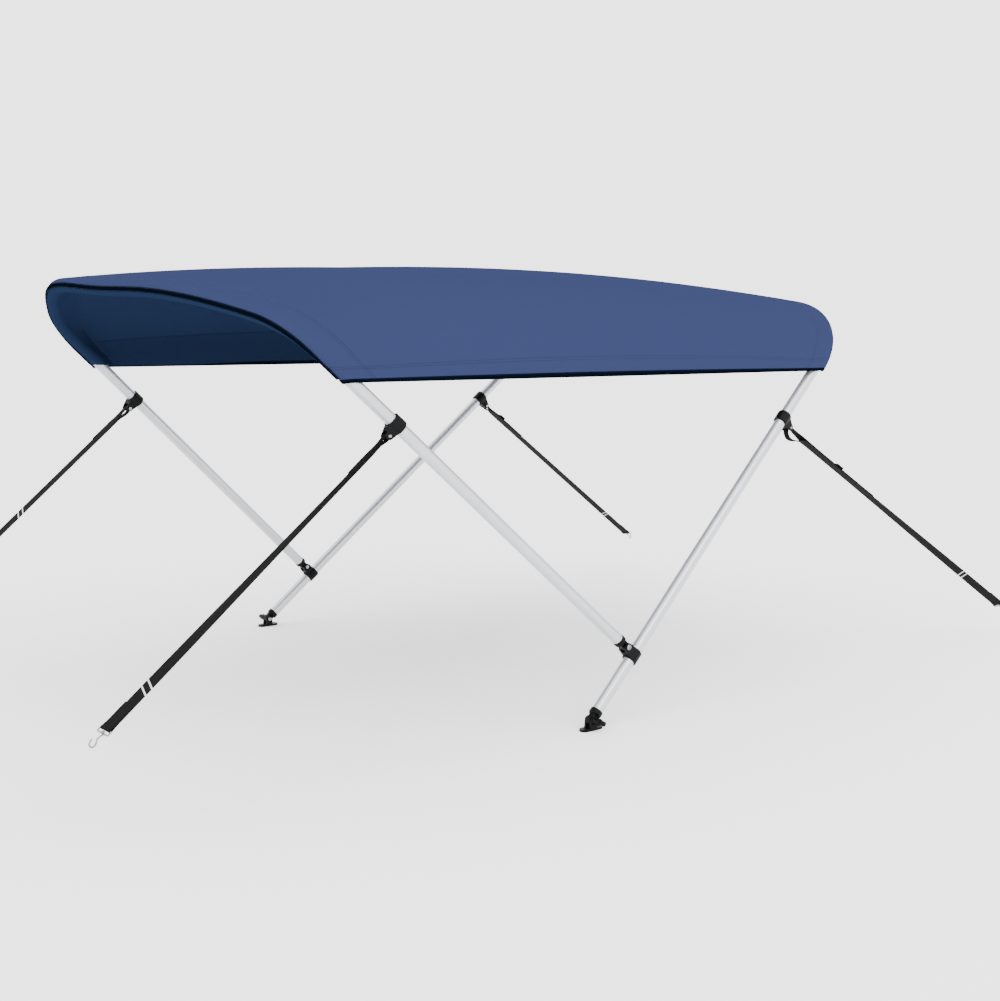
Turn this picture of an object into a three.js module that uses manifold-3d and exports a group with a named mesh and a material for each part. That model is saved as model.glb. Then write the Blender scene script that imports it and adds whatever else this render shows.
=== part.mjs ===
// Bimini top: a sewn cloth canopy stretched over two folding tube bows, with deck hinges and straps.
// Millimetres, +X towards the bow that the deck hinges carry, +Z up. The origin lies on the deck,
// midway between the two deck hinges, and Y = 0 is the middle plane.

import * as THREE from 'three';
import { mergeVertices } from 'three/addons/utils/BufferGeometryUtils.js';
import Module from 'manifold-3d';

const wasm = await Module();
wasm.setup();

// Driving dimensions

const gap = 0.3;
const mergeDistance = 1e-4;
const tube = { radius: 12.5, sides: 14 };
const ringSides = 16;
const pinSides = 12;
const boltSides = 10;
const arcSegments = { eye: 6, plate: 6, hingeEar: 6, jawEar: 5, clampEar: 5, sliderCorner: 2 };
const deckHinge = { halfSpacing: 651, pinHeight: 20, plateLength: 57, plateWidth: 22, plateThickness: 5 };
const earThickness = 5;
const pinRadius = 3;
const pinHoleRadius = pinRadius + gap;
const tongueThickness = 10.4;
const mainLeg = { rise: 40.76, lean: 0.0927 };
const jaw = {
  along: 171, pinOffset: 30.6, length: 29, boreRadius: 12.8, outerRadius: 16, tongueRadius: 8.4,
};
const footEye = { tongueRadius: 9, collarRadius: 13.6, collarStart: 13, collarEnd: 24 };
const jawEye = { tongueRadius: jaw.tongueRadius, collarRadius: 13.6, collarStart: 14, collarEnd: 25.7 };
const collarEdge = { inset: 1.5, height: 2 };
const clamp = {
  length: 28, boreRadius: 12.8, outerRadius: 16.5, boltOffset: 28.9, earRadius: 7.5, loopClearance: 1.7,
};
const cloth = {
  thickness: 1.5, clearance: 2, crownRise: 48.8, rearSlack: 5.8, across: 32, crowding: 0.45, bays: 7,
};
const sleeve = { thickness: 1, seam: 40, cutEdge: 50, arcSteps: 5, hemSetback: 14 };
const binding = { thickness: 0.9, width: 10, hemDepth: 9, hemSetback: 11, hemGap: 0.65 };
const webbing = {
  width: 25, thickness: 1.5, loopWidth: 12.5, spreadAt: 60, betweenStrands: 0.5,
  foldLength: 55, foldRadius: 2.65,
};
const slider = { length: 25, width: 33, thickness: 2.5, centreBar: 5, outerBar: 3, cornerRadius: 3 };
const wire = { radius: 1.5, sides: 6 };
const strapRing = { halfWidth: 15, depth: 9, cornerRadius: 3 };
const hook = { eyeRadius: 3.5, bendCentre: 22, bendRadius: 6.5, steps: 24 };

// The bow on the deck hinges. Distances run along the bow's plane from its pin, and crown is the half
// angle of its arc.
const mainBowSize = {
  rise: mainLeg.rise, heading: 1, lean: mainLeg.lean, foot: [0, deckHinge.pinHeight],
  halfWidth: deckHinge.halfSpacing, tubeStart: footEye.collarEnd + gap, straight: 1067.7,
  cornerRadius: 249.3, crown: 0.199, hem: 1055.5, clampAt: 891.3, bulge: 0,
};

// The bow that pivots on the jaw slides. Its far corner stands out a little, as in the photograph.
const frontBowSize = {
  rise: 42.77, heading: -1, lean: 0.1103, foot: jawPin(),
  halfWidth: deckHinge.halfSpacing - mainLeg.lean * jaw.along, tubeStart: jawEye.collarEnd + gap,
  straight: 890.7, cornerRadius: 139.6, crown: 0.3486, hem: 826.1, clampAt: 711.1, bulge: 51.3,
};
const bulgePlace = { centre: 0.7346, spread: 0.1269 };

// Straps: which bow and side, where the webbing folds round its ring, how far the lower strand droops,
// where the strands join, the slider's place or 0, the tail's end, and the twist near the bow and at the
// ring.
const straps = [
  {
    name: 'front_near', bow: 'front', side: -1, end: [-1012.2, -590.7, 172.4],
    droop: 5, join: 26, slider: 0, tail: 104, turn: [0, -18],
  },
  {
    name: 'front_far', bow: 'front', side: 1, end: [-970.2, 636.3, 122.7],
    droop: 8, join: 40, slider: 0, tail: 112, turn: [0, -4],
  },
  {
    name: 'rear_near', bow: 'main', side: -1, end: [1459.5, -663.9, 80.5],
    droop: 22, join: 62, slider: 188, tail: 330, turn: [4, -18],
  },
  {
    name: 'rear_far', bow: 'main', side: 1, end: [1424.9, 721.5, 116.5],
    droop: 7, join: 32, slider: 76, tail: 190, turn: [-12, -20],
  },
];

const finishes = {
  canvas: { color: 0x465a85, roughness: 0.85, metalness: 0 },
  tape: { color: 0x18202f, roughness: 0.8, metalness: 0 },
  webbing: { color: 0x2b2b2b, roughness: 0.85, metalness: 0 },
  tubeMetal: { color: 0xd2d4d8, roughness: 0.3, metalness: 1 },
  steel: { color: 0xc4c6c8, roughness: 0.25, metalness: 1 },
  moulding: { color: 0x1f2225, roughness: 0.5, metalness: 0 },
};

const group = new THREE.Group();
group.name = 'bimini_top';

// Small helpers

function vec(x, y, z) {
  return new THREE.Vector3(x, y, z);
}

// Where the second bow's pin lies on the first bow's leg, as X and Z.
function jawPin() {
  const rise = THREE.MathUtils.degToRad(mainLeg.rise);
  return [
    jaw.along * Math.cos(rise) - jaw.pinOffset * Math.sin(rise),
    deckHinge.pinHeight + jaw.along * Math.sin(rise) + jaw.pinOffset * Math.cos(rise),
  ];
}

// Adds a geometry to the object as a named mesh, turned inside out first if a mirror left it so.
function addPiece(name, geometry, finish) {
  const mesh = new THREE.Mesh(facingOut(geometry), new THREE.MeshStandardMaterial(finishes[finish]));
  mesh.name = name;
  group.add(mesh);
}

function facingOut(geometry) {
  const plain = geometry.clone();
  plain.deleteAttribute('normal');
  plain.deleteAttribute('uv');
  const merged = mergeVertices(plain, mergeDistance);
  const index = merged.index.array;
  const at = merged.attributes.position;
  const corner = [vec(), vec(), vec()];
  let volume = 0;
  for (let i = 0; i < index.length; i += 3) {
    corner.forEach((point, k) => point.fromBufferAttribute(at, index[i + k]));
    volume += corner[0].dot(corner[1].cross(corner[2]));
  }
  if (volume < 0) {
    for (let i = 0; i < index.length; i += 3) {
      [index[i], index[i + 1]] = [index[i + 1], index[i]];
    }
  }
  merged.computeVertexNormals();
  return merged;
}

// Turns a three.js geometry into a solid that can be joined and cut, and back.
function toSolid(geometry) {
  const merged = facingOut(geometry);
  return new wasm.Manifold(new wasm.Mesh({
    numProp: 3,
    vertProperties: new Float32Array(merged.attributes.position.array),
    triVerts: new Uint32Array(merged.index.array),
  }));
}

function fromSolid(solid) {
  const mesh = solid.getMesh();
  const geometry = new THREE.BufferGeometry();
  geometry.setAttribute('position', new THREE.BufferAttribute(new Float32Array(mesh.vertProperties), 3));
  geometry.setIndex(new THREE.BufferAttribute(new Uint32Array(mesh.triVerts), 1));
  return geometry;
}

// Joins the first list and cuts the second from it.
function carve(added, removed) {
  let solid = toSolid(added[0]);
  for (const geometry of added.slice(1)) {
    solid = solid.add(toSolid(geometry));
  }
  for (const geometry of removed) {
    solid = solid.subtract(toSolid(geometry));
  }
  return fromSolid(solid);
}

// A round solid about +Y from half-profile points [radius, height], bottom to top.
function turned(profile, sides) {
  const points = profile.map(([radius, height]) => new THREE.Vector2(radius, height));
  return new THREE.LatheGeometry(points, sides);
}

// A round bar about +Y between two heights.
function bar(radius, low, high, sides) {
  return turned([[0, low], [radius, low], [radius, high], [0, high]], sides);
}

function block(low, high) {
  const size = high.map((value, k) => value - low[k]);
  const middle = high.map((value, k) => (value + low[k]) / 2);
  return new THREE.BoxGeometry(...size).translate(...middle);
}

// An outline in X and Z given thickness along Y, from one Y to the other.
function plateAcross(shape, fromY, toY, curveSegments) {
  const depth = toY - fromY;
  const geometry = new THREE.ExtrudeGeometry(shape, { depth, bevelEnabled: false, curveSegments });
  return geometry.rotateX(Math.PI / 2).translate(0, toY, 0);
}

const longestMitre = 1.5;

// The unit direction through the middle one of three points, and how much a mitre there must lengthen.
function headingThrough(before, here, after) {
  const arriving = here.clone().sub(before);
  const leaving = after.clone().sub(here);
  if (arriving.lengthSq() === 0) {
    arriving.copy(leaving);
  }
  if (leaving.lengthSq() === 0) {
    leaving.copy(arriving);
  }
  const direction = arriving.normalize().add(leaving.normalize()).normalize();
  return { direction, mitre: Math.min(longestMitre, 1 / arriving.dot(direction)) };
}

// A thin closed sheet around a grid of middle points, of one thickness or with one for each row.
function sheet(grid, thickness) {
  const rows = grid.length;
  const columns = grid[0].length;
  const at = (i, j) => grid[Math.max(0, Math.min(rows - 1, i))][Math.max(0, Math.min(columns - 1, j))];
  const thicknessOf = Array.isArray(thickness) ? (i) => thickness[i] : () => thickness;
  const positions = [];
  for (const face of [0.5, -0.5]) {
    for (let i = 0; i < rows; i += 1) {
      for (let j = 0; j < columns; j += 1) {
        const along = headingThrough(at(i - 1, j), at(i, j), at(i + 1, j));
        const over = headingThrough(at(i, j - 1), at(i, j), at(i, j + 1));
        const normal = along.direction.cross(over.direction).normalize();
        const offset = face * thicknessOf(i) * along.mitre * over.mitre;
        positions.push(...at(i, j).clone().addScaledVector(normal, offset));
      }
    }
  }
  const top = (i, j) => i * columns + j;
  const under = (i, j) => rows * columns + top(i, j);
  const index = [];
  for (let i = 0; i + 1 < rows; i += 1) {
    for (let j = 0; j + 1 < columns; j += 1) {
      index.push(top(i, j), top(i + 1, j), top(i, j + 1));
      index.push(top(i + 1, j), top(i + 1, j + 1), top(i, j + 1));
      index.push(under(i, j), under(i, j + 1), under(i + 1, j));
      index.push(under(i + 1, j), under(i, j + 1), under(i + 1, j + 1));
    }
  }
  const rim = [];
  for (let i = 0; i + 1 < rows; i += 1) {
    rim.push([i, 0]);
  }
  for (let j = 0; j + 1 < columns; j += 1) {
    rim.push([rows - 1, j]);
  }
  for (let i = rows - 1; i > 0; i -= 1) {
    rim.push([i, columns - 1]);
  }
  for (let j = columns - 1; j > 0; j -= 1) {
    rim.push([0, j]);
  }
  rim.forEach((here, k) => {
    const next = rim[(k + 1) % rim.length];
    index.push(top(...next), top(...here), under(...here));
    index.push(top(...next), under(...here), under(...next));
  });
  const geometry = new THREE.BufferGeometry();
  geometry.setAttribute('position', new THREE.Float32BufferAttribute(positions, 3));
  geometry.setIndex(index);
  return geometry;
}

// A closed ring of wire along points in one plane.
function wireRing(points, planeNormal) {
  const count = points.length;
  const positions = [];
  const index = [];
  points.forEach((here, i) => {
    const before = points[(i + count - 1) % count];
    const after = points[(i + 1) % count];
    const { direction, mitre } = headingThrough(before, here, after);
    const aside = direction.cross(planeNormal).normalize();
    for (let k = 0; k < wire.sides; k += 1) {
      const angle = (k / wire.sides) * 2 * Math.PI;
      const spot = here.clone().addScaledVector(aside, wire.radius * mitre * Math.cos(angle));
      positions.push(...spot.addScaledVector(planeNormal, wire.radius * Math.sin(angle)));
      const nextRing = ((i + 1) % count) * wire.sides;
      const nextSide = (k + 1) % wire.sides;
      index.push(i * wire.sides + k, nextRing + k, i * wire.sides + nextSide);
      index.push(nextRing + k, nextRing + nextSide, i * wire.sides + nextSide);
    }
  });
  const geometry = new THREE.BufferGeometry();
  geometry.setAttribute('position', new THREE.Float32BufferAttribute(positions, 3));
  geometry.setIndex(index);
  return geometry;
}

function circleShape(radius) {
  return new THREE.Shape().absarc(0, 0, radius, 0, 2 * Math.PI);
}

// A round bar along a curve, with the given number of sides.
function roundAlong(curve, radius, sides, steps) {
  return new THREE.ExtrudeGeometry(circleShape(radius), {
    steps, curveSegments: sides / 2, bevelEnabled: false, extrudePath: curve,
  });
}

// How far an uneven corner stands out at a place along the cloth, as a share of its most.
function bulgeShare(place) {
  return Math.exp(-(((place - bulgePlace.centre) / bulgePlace.spread) ** 2));
}

// Bows: a leg, a corner, a crown arc, a corner and a leg, all in one tilted plane

function makeBow(size) {
  const rise = THREE.MathUtils.degToRad(size.rise);
  const up = vec(size.heading * Math.cos(rise), 0, Math.sin(rise));
  const foot = vec(size.foot[0], 0, size.foot[1]);
  const lean = Math.atan(size.lean);
  const cornerY = size.halfWidth - size.lean * size.straight - Math.cos(lean) * size.cornerRadius;
  const cornerUp = size.straight - Math.sin(lean) * size.cornerRadius;
  const crownRadius = (cornerY + Math.sin(size.crown) * size.cornerRadius) / Math.sin(size.crown);
  const crownUp = cornerUp + (size.cornerRadius - crownRadius) * Math.cos(size.crown);
  const legLength = (size.straight - size.tubeStart) / Math.cos(lean);
  const cornerLength = size.cornerRadius * (Math.PI / 2 - size.crown - lean);
  const half = legLength + cornerLength + crownRadius * size.crown;
  const hemLength = (size.hem - size.tubeStart) / Math.cos(lean);

  // Across and up in the bow's plane, at a length from the near foot.
  function flat(length) {
    const side = length > half ? 1 : -1;
    const fromFoot = length > half ? 2 * half - length : length;
    if (fromFoot < legLength) {
      const along = size.tubeStart + fromFoot * Math.cos(lean);
      return [side * (size.halfWidth - size.lean * along), along];
    }
    if (fromFoot < legLength + cornerLength) {
      const turn = lean + (fromFoot - legLength) / size.cornerRadius;
      const across = cornerY + Math.cos(turn) * size.cornerRadius;
      return [side * across, cornerUp + Math.sin(turn) * size.cornerRadius];
    }
    const turn = (half - fromFoot) / crownRadius;
    return [side * Math.sin(turn) * crownRadius, crownUp + Math.cos(turn) * crownRadius];
  }

  // The tube's axis at a length from the near foot, with the bulge of an uneven corner.
  function at(length) {
    const [across, along] = flat(length);
    const [acrossAhead, alongAhead] = flat(length + 1);
    const outward = new THREE.Vector2(along - alongAhead, acrossAhead - across).normalize();
    const place = (length - hemLength) / (2 * (half - hemLength));
    const bulge = size.bulge * Math.max(0, bulgeShare(place) - bulgeShare(1));
    return foot.clone()
      .addScaledVector(up, along + outward.y * bulge)
      .add(vec(0, across + outward.x * bulge, 0));
  }

  function headingAt(length) {
    return at(length + 1).sub(at(length - 1)).normalize();
  }

  // A place and frame on a leg: z up the leg, x square to the bow's plane, y their cross product.
  function legFrame(side, along) {
    const origin = foot.clone().addScaledVector(up, along);
    origin.y = side * (size.halfWidth - size.lean * along);
    const z = up.clone().addScaledVector(vec(0, 1, 0), -side * size.lean).normalize();
    const x = vec(size.heading * Math.sin(rise), 0, -Math.cos(rise));
    const y = z.clone().cross(x);
    return { origin, x, y, z };
  }

  const clothLength = 2 * (half - hemLength);
  const atShare = (share) => hemLength + share * clothLength;
  return { size, up, rise, lean, length: 2 * half, clothLength, atShare, at, headingAt, legFrame };
}

const mainBow = makeBow(mainBowSize);
const frontBow = makeBow(frontBowSize);

// Shares of the way from the near hem to the far one, closer together towards the corners.
function shareAt(step) {
  const even = step / cloth.across;
  return even - (cloth.crowding / (2 * Math.PI)) * Math.sin(2 * Math.PI * even);
}

const stationTolerance = 1e-9;

// The tube's path, with its steps where the cloth has its own.
class BowPath extends THREE.Curve {
  constructor(bow) {
    super();
    this.bow = bow;
    this.stations = [0];
    for (let step = 0; step <= cloth.across; step += 1) {
      this.stations.push(bow.atShare(shareAt(step)));
    }
    this.stations.push(bow.length);
  }

  lengthAt(share) {
    const place = share * (this.stations.length - 1);
    const below = Math.min(Math.floor(place + stationTolerance), this.stations.length - 2);
    return THREE.MathUtils.lerp(this.stations[below], this.stations[below + 1], place - below);
  }

  getPoint(share) {
    return this.bow.at(this.lengthAt(share));
  }

  getPointAt(share) {
    return this.getPoint(share);
  }

  getTangentAt(share) {
    return this.bow.headingAt(this.lengthAt(share));
  }
}

for (const [name, bow] of [['main_bow', mainBow], ['front_bow', frontBow]]) {
  const path = new BowPath(bow);
  addPiece(name, roundAlong(path, tube.radius, tube.sides, path.stations.length - 1), 'tubeMetal');
}

// Canopy: ruled from bow to bow with a soft rise along its middle, and wrapped over both tubes

const wrapRadius = tube.radius + cloth.clearance + cloth.thickness / 2;

// Both bows at one share of the cloth: their axes, the way between them and the way outward.
function clothLine(share) {
  const ends = [frontBow, mainBow].map((bow) => {
    const length = bow.atShare(share);
    const hem = bow.at(bow.atShare(0)).z;
    const top = bow.at(bow.atShare(0.5)).z;
    const axis = bow.at(length);
    return { axis, heading: bow.headingAt(length), height: Math.max(0, (axis.z - hem) / (top - hem)) };
  });
  ends[0].slack = 0;
  ends[1].slack = cloth.rearSlack * (1 - ends[1].height);
  const run = ends[1].axis.clone().sub(ends[0].axis);
  const span = run.length();
  run.normalize();
  for (const end of ends) {
    const outward = run.clone().cross(end.heading);
    end.slant = outward.length();
    end.outward = outward.normalize();
  }
  return { ends, run, span };
}

// A point of the canopy's middle surface, a distance along the way from the front bow's axis.
function canopyPoint(line, distance) {
  const share = distance / line.span;
  const outward = line.ends[0].outward.clone().lerp(line.ends[1].outward, share).normalize();
  const height = THREE.MathUtils.lerp(line.ends[0].height, line.ends[1].height, share);
  return line.ends[0].axis.clone()
    .addScaledVector(line.run, distance)
    .addScaledVector(outward, wrapRadius)
    .add(vec(0, 0, cloth.crownRise * 4 * share * (1 - share) * height));
}

// A point round a bow's tube: an angle down from the top towards the outside, at a radius from the axis.
// Along the way it is stretched by the slant, so that it stays on a round tube. Slack cloth stands off
// outside.
function wrapPoint(line, whichEnd, angle, radius) {
  const end = line.ends[whichEnd];
  const away = whichEnd === 0 ? -1 : 1;
  const reach = radius + end.slack * Math.max(0, Math.sin(angle));
  return end.axis.clone()
    .addScaledVector(end.outward, reach * Math.cos(angle))
    .addScaledVector(line.run, (away * reach * Math.sin(angle)) / end.slant);
}

const wrapSteps = 4;

function canopyRow(share) {
  const line = clothLine(share);
  const row = [];
  for (let step = wrapSteps; step > 0; step -= 1) {
    row.push(wrapPoint(line, 0, (step / wrapSteps) * Math.PI / 2, wrapRadius));
  }
  const inner = line.span - 2 * sleeve.cutEdge;
  const distances = [0, sleeve.seam];
  for (let bay = 0; bay <= cloth.bays; bay += 1) {
    distances.push(sleeve.cutEdge + (bay / cloth.bays) * inner);
  }
  distances.push(line.span - sleeve.seam, line.span);
  for (const distance of distances) {
    row.push(canopyPoint(line, distance));
  }
  for (let step = 1; step <= wrapSteps; step += 1) {
    row.push(wrapPoint(line, 1, (step / wrapSteps) * Math.PI / 2, wrapRadius));
  }
  return row;
}

const shares = [];
for (let step = 0; step <= cloth.across; step += 1) {
  shares.push(shareAt(step));
}
const canopyGrid = shares.map(canopyRow);
addPiece('canopy', sheet(canopyGrid, cloth.thickness), 'canvas');

// The shares with both ends set in from the hems by a length of cloth.
function sharesSetIn(setback) {
  const inset = setback / frontBow.clothLength;
  return [inset, ...shares.slice(1, -1), 1 - inset];
}

// Sleeves: strips sewn under the canopy that carry the bows like pockets

const sewnGap = 0.5;
const sewnOffset = cloth.thickness / 2 + sewnGap + sleeve.thickness / 2;
const normalStep = 0.004;
const sleeveRadius = tube.radius + cloth.clearance + sleeve.thickness / 2;

// A point a little under the canopy, square to it.
function underCanopy(share, line, distance, depth) {
  const here = canopyPoint(line, distance);
  const ahead = canopyPoint(clothLine(Math.min(1, share + normalStep)), distance);
  const behind = canopyPoint(clothLine(Math.max(0, share - normalStep)), distance);
  const onward = canopyPoint(line, distance + 1).sub(canopyPoint(line, distance - 1));
  const inward = ahead.sub(behind).cross(onward).normalize();
  return here.addScaledVector(inward, depth);
}

function sleeveRow(share, whichEnd) {
  const line = clothLine(share);
  const end = line.ends[whichEnd];
  const away = whichEnd === 0 ? -1 : 1;
  const fromFront = (setback) => (whichEnd === 0 ? setback : line.span - setback);
  const sewn = [sleeve.cutEdge, sleeve.seam].map((setback) => (
    underCanopy(share, line, fromFront(setback), sewnOffset)));
  const fromAxis = sewn[1].clone().sub(end.axis);
  const level = fromAxis.dot(end.outward);
  const inward = -away * fromAxis.dot(line.run) * end.slant;
  const seamAngle = Math.atan2(-inward, level);
  const reach = Math.hypot(inward, level);
  const first = seamAngle - Math.acos(sleeveRadius / reach);
  const last = Math.PI / 2 + (2 * gap) / sleeveRadius - 2 * Math.PI;
  const row = [...sewn];
  for (let step = 0; step <= sleeve.arcSteps; step += 1) {
    const angle = THREE.MathUtils.lerp(first, last, step / sleeve.arcSteps);
    row.push(wrapPoint(line, whichEnd, angle, sleeveRadius));
  }
  return row;
}

['front_sleeve', 'rear_sleeve'].forEach((name, whichEnd) => {
  const grid = sharesSetIn(sleeve.hemSetback).map((share) => sleeveRow(share, whichEnd));
  addPiece(name, sheet(grid, sleeve.thickness), 'canvas');
});

// Bindings: a tape over the nose of each end, and a folded tape round each side hem

const tapeRadius = tube.radius + cloth.clearance + cloth.thickness + gap + binding.thickness / 2;
const tapeHalfAngle = binding.width / 2 / tapeRadius;
const tapeTurns = [-1, -1 / 3, 1 / 3, 1];

['front_binding', 'rear_binding'].forEach((name, whichEnd) => {
  const grid = sharesSetIn(binding.hemSetback).map((share) => {
    const line = clothLine(share);
    return tapeTurns.map((turn) => (
      wrapPoint(line, whichEnd, Math.PI / 2 + turn * tapeHalfAngle, tapeRadius)));
  });
  addPiece(name, sheet(grid, binding.thickness), 'tape');
});

function hemBinding(edge, inner) {
  const offset = cloth.thickness / 2 + binding.hemGap + binding.thickness / 2;
  const below = binding.hemGap + binding.thickness / 2;
  const { hemDepth } = binding;
  const profile = [[-hemDepth, offset], [below, offset], [below, -offset], [-hemDepth, -offset]];
  const grid = edge.map((here, j) => {
    const down = here.clone().sub(inner[j]).normalize();
    const before = edge[Math.max(0, j - 1)];
    const after = edge[Math.min(edge.length - 1, j + 1)];
    const along = headingThrough(before, here, after);
    const normal = along.direction.cross(down).normalize();
    return profile.map(([depth, side]) => (
      here.clone().addScaledVector(down, depth).addScaledVector(normal, side * along.mitre)));
  });
  return sheet(grid, binding.thickness);
}

const lastRow = canopyGrid.length - 1;
addPiece('near_hem_binding', hemBinding(canopyGrid[0], canopyGrid[1]), 'tape');
addPiece('far_hem_binding', hemBinding(canopyGrid[lastRow], canopyGrid[lastRow - 1]), 'tape');

// Fittings that come in near and far pairs

const sides = [['near', -1], ['far', 1]];

// Puts a geometry made about its own origin into a frame.
function placed(geometry, { origin, x, y, z }) {
  return geometry.clone().applyMatrix4(new THREE.Matrix4().makeBasis(x, y, z).setPosition(origin));
}

// A frame with y across the boat and z along a bow's plane, at a pin.
function pinFrame(bow, side, x, z, halfWidth) {
  const origin = vec(x, side * halfWidth, z);
  const across = vec(0, 1, 0);
  return { origin, x: across.clone().cross(bow.up), y: across, z: bow.up.clone() };
}

// Eye end: a flat tongue with a pin hole under a round collar that carries the tube.
function eyeEnd(size, lean, side) {
  const outline = new THREE.Shape();
  outline.moveTo(size.tongueRadius, 0);
  outline.lineTo(size.tongueRadius, size.collarStart + 2 * collarEdge.inset);
  outline.lineTo(-size.tongueRadius, size.collarStart + 2 * collarEdge.inset);
  outline.lineTo(-size.tongueRadius, 0);
  outline.absarc(0, 0, size.tongueRadius, Math.PI, 2 * Math.PI, false);
  const tongue = plateAcross(outline, -tongueThickness / 2, tongueThickness / 2, arcSegments.eye);
  const collar = turned([
    [0, size.collarStart],
    [size.collarRadius - collarEdge.inset, size.collarStart],
    [size.collarRadius, size.collarStart + collarEdge.height],
    [size.collarRadius, size.collarEnd],
    [0, size.collarEnd],
  ], ringSides).rotateX(Math.PI / 2 + side * lean);
  const hole = bar(pinHoleRadius, -tongueThickness, tongueThickness, pinSides);
  return carve([tongue, collar], [hole]);
}

for (const [place, side] of sides) {
  const footFrame = pinFrame(mainBow, side, 0, deckHinge.pinHeight, deckHinge.halfSpacing);
  addPiece(`main_eye_end_${place}`, placed(eyeEnd(footEye, mainBow.lean, side), footFrame), 'moulding');
  const [x, z] = frontBow.size.foot;
  const jawFrame = pinFrame(frontBow, side, x, z, frontBow.size.halfWidth);
  addPiece(`front_eye_end_${place}`, placed(eyeEnd(jawEye, frontBow.lean, side), jawFrame), 'moulding');
}

// Deck hinge: a screwed-down plate with two ears, and a steel pin with a stepped black knob on its end
const earInner = tongueThickness / 2 + gap;
const earOuter = earInner + earThickness;
const hingeEar = { radius: 8, footHalf: 9.3, footDepth: 1 };
const plateHole = { place: 20, radius: 2.6 };
const pinHead = { radius: 5.5, length: 3.5, edge: 1.2 };
const knob = { radius: 8, length: 18, tipRadius: 5.5, tipLength: 12, edge: 1.5, boreDepth: 14 };

function deckBase() {
  const { plateLength, plateWidth, plateThickness, pinHeight } = deckHinge;
  const endRadius = plateWidth / 2;
  const outline = new THREE.Shape();
  outline.absarc(plateLength / 2 - endRadius, 0, endRadius, -Math.PI / 2, Math.PI / 2);
  outline.absarc(endRadius - plateLength / 2, 0, endRadius, Math.PI / 2, 1.5 * Math.PI);
  const settings = { depth: plateThickness, bevelEnabled: false, curveSegments: arcSegments.plate };
  const plate = new THREE.ExtrudeGeometry(outline, settings);
  const foot = plateThickness - hingeEar.footDepth;
  const ear = new THREE.Shape();
  ear.moveTo(hingeEar.footHalf, foot);
  ear.lineTo(hingeEar.radius, pinHeight);
  ear.absarc(0, pinHeight, hingeEar.radius, 0, Math.PI, false);
  ear.lineTo(-hingeEar.footHalf, foot);
  const ears = [[-earOuter, -earInner], [earInner, earOuter]].map(([low, high]) => (
    plateAcross(ear, low, high, arcSegments.hingeEar)));
  const pinHole = bar(pinHoleRadius, -2 * earOuter, 2 * earOuter, pinSides).translate(0, 0, pinHeight);
  const screwHole = bar(plateHole.radius, -plateThickness, 2 * plateThickness, boltSides);
  screwHole.rotateX(Math.PI / 2);
  const screwHoles = [-1, 1].map((end) => screwHole.clone().translate(end * plateHole.place, 0, 0));
  return carve([plate, ...ears], [pinHole, ...screwHoles]);
}

for (const [place, side] of sides) {
  const y = side * deckHinge.halfSpacing;
  const z = deckHinge.pinHeight;
  const outerFace = earOuter + gap;
  const headFace = -outerFace - pinHead.length;
  const pinEnd = outerFace + knob.boreDepth - gap;
  const pin = turned([
    [0, headFace],
    [pinHead.radius - pinHead.edge, headFace],
    [pinHead.radius, headFace + pinHead.edge],
    [pinHead.radius, -outerFace],
    [pinRadius, -outerFace],
    [pinRadius, pinEnd],
    [0, pinEnd],
  ], pinSides);
  const shoulder = outerFace + knob.length;
  const tipEnd = shoulder + knob.tipLength;
  const grip = turned([
    [pinHoleRadius, outerFace],
    [knob.radius - knob.edge, outerFace],
    [knob.radius, outerFace + knob.edge],
    [knob.radius, shoulder - knob.edge],
    [knob.radius - knob.edge, shoulder],
    [knob.tipRadius, shoulder],
    [knob.tipRadius, tipEnd - knob.edge],
    [knob.tipRadius - knob.edge, tipEnd],
    [0, tipEnd],
    [0, outerFace + knob.boreDepth],
    [pinHoleRadius, outerFace + knob.boreDepth],
    [pinHoleRadius, outerFace],
  ], pinSides);
  const outwards = (geometry) => geometry.scale(1, side, 1).translate(0, y, z);
  addPiece(`deck_hinge_base_${place}`, deckBase().translate(0, y, 0), 'moulding');
  addPiece(`deck_hinge_pin_${place}`, outwards(pin), 'steel');
  addPiece(`deck_hinge_knob_${place}`, outwards(grip), 'moulding');
}

// Jaw slide: a ring on the first bow's leg with two ears for the second bow's eye end, and its screw
const jawEar = { radius: 9, half: 11, outer: 11.5, roundFrom: 4, arc: 0.9 };
const screwHead = { radius: 6, length: 3, edge: 1.8, rim: 1.5 };
const screwNut = { radius: 4.8, length: 4 };
const screwSlot = { width: 1.6, length: 8, depth: 1.2 };
const cutReach = 60;

// A ring about +Z round a tube, with softened edges.
function tubeRing(outerRadius, length, tilt) {
  const half = length / 2;
  return turned([
    [0, -half],
    [outerRadius - collarEdge.inset, -half],
    [outerRadius, collarEdge.inset - half],
    [outerRadius, half - collarEdge.inset],
    [outerRadius - collarEdge.inset, half],
    [0, half],
  ], ringSides).rotateX(Math.PI / 2 + tilt);
}

// What is cut from a ring and its ears: the tube's bore, a slot between the ears and the hole through them.
function ringCuts(size, tilt, slotFloor, slotHalf, holeRadius, holePlace) {
  return [
    bar(size.boreRadius, -size.length, size.length, ringSides).rotateX(Math.PI / 2 + tilt),
    block([slotFloor, -slotHalf, -cutReach], [cutReach, slotHalf, cutReach]),
    bar(holeRadius, -cutReach, cutReach, pinSides).translate(holePlace, 0, 0),
  ];
}

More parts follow.
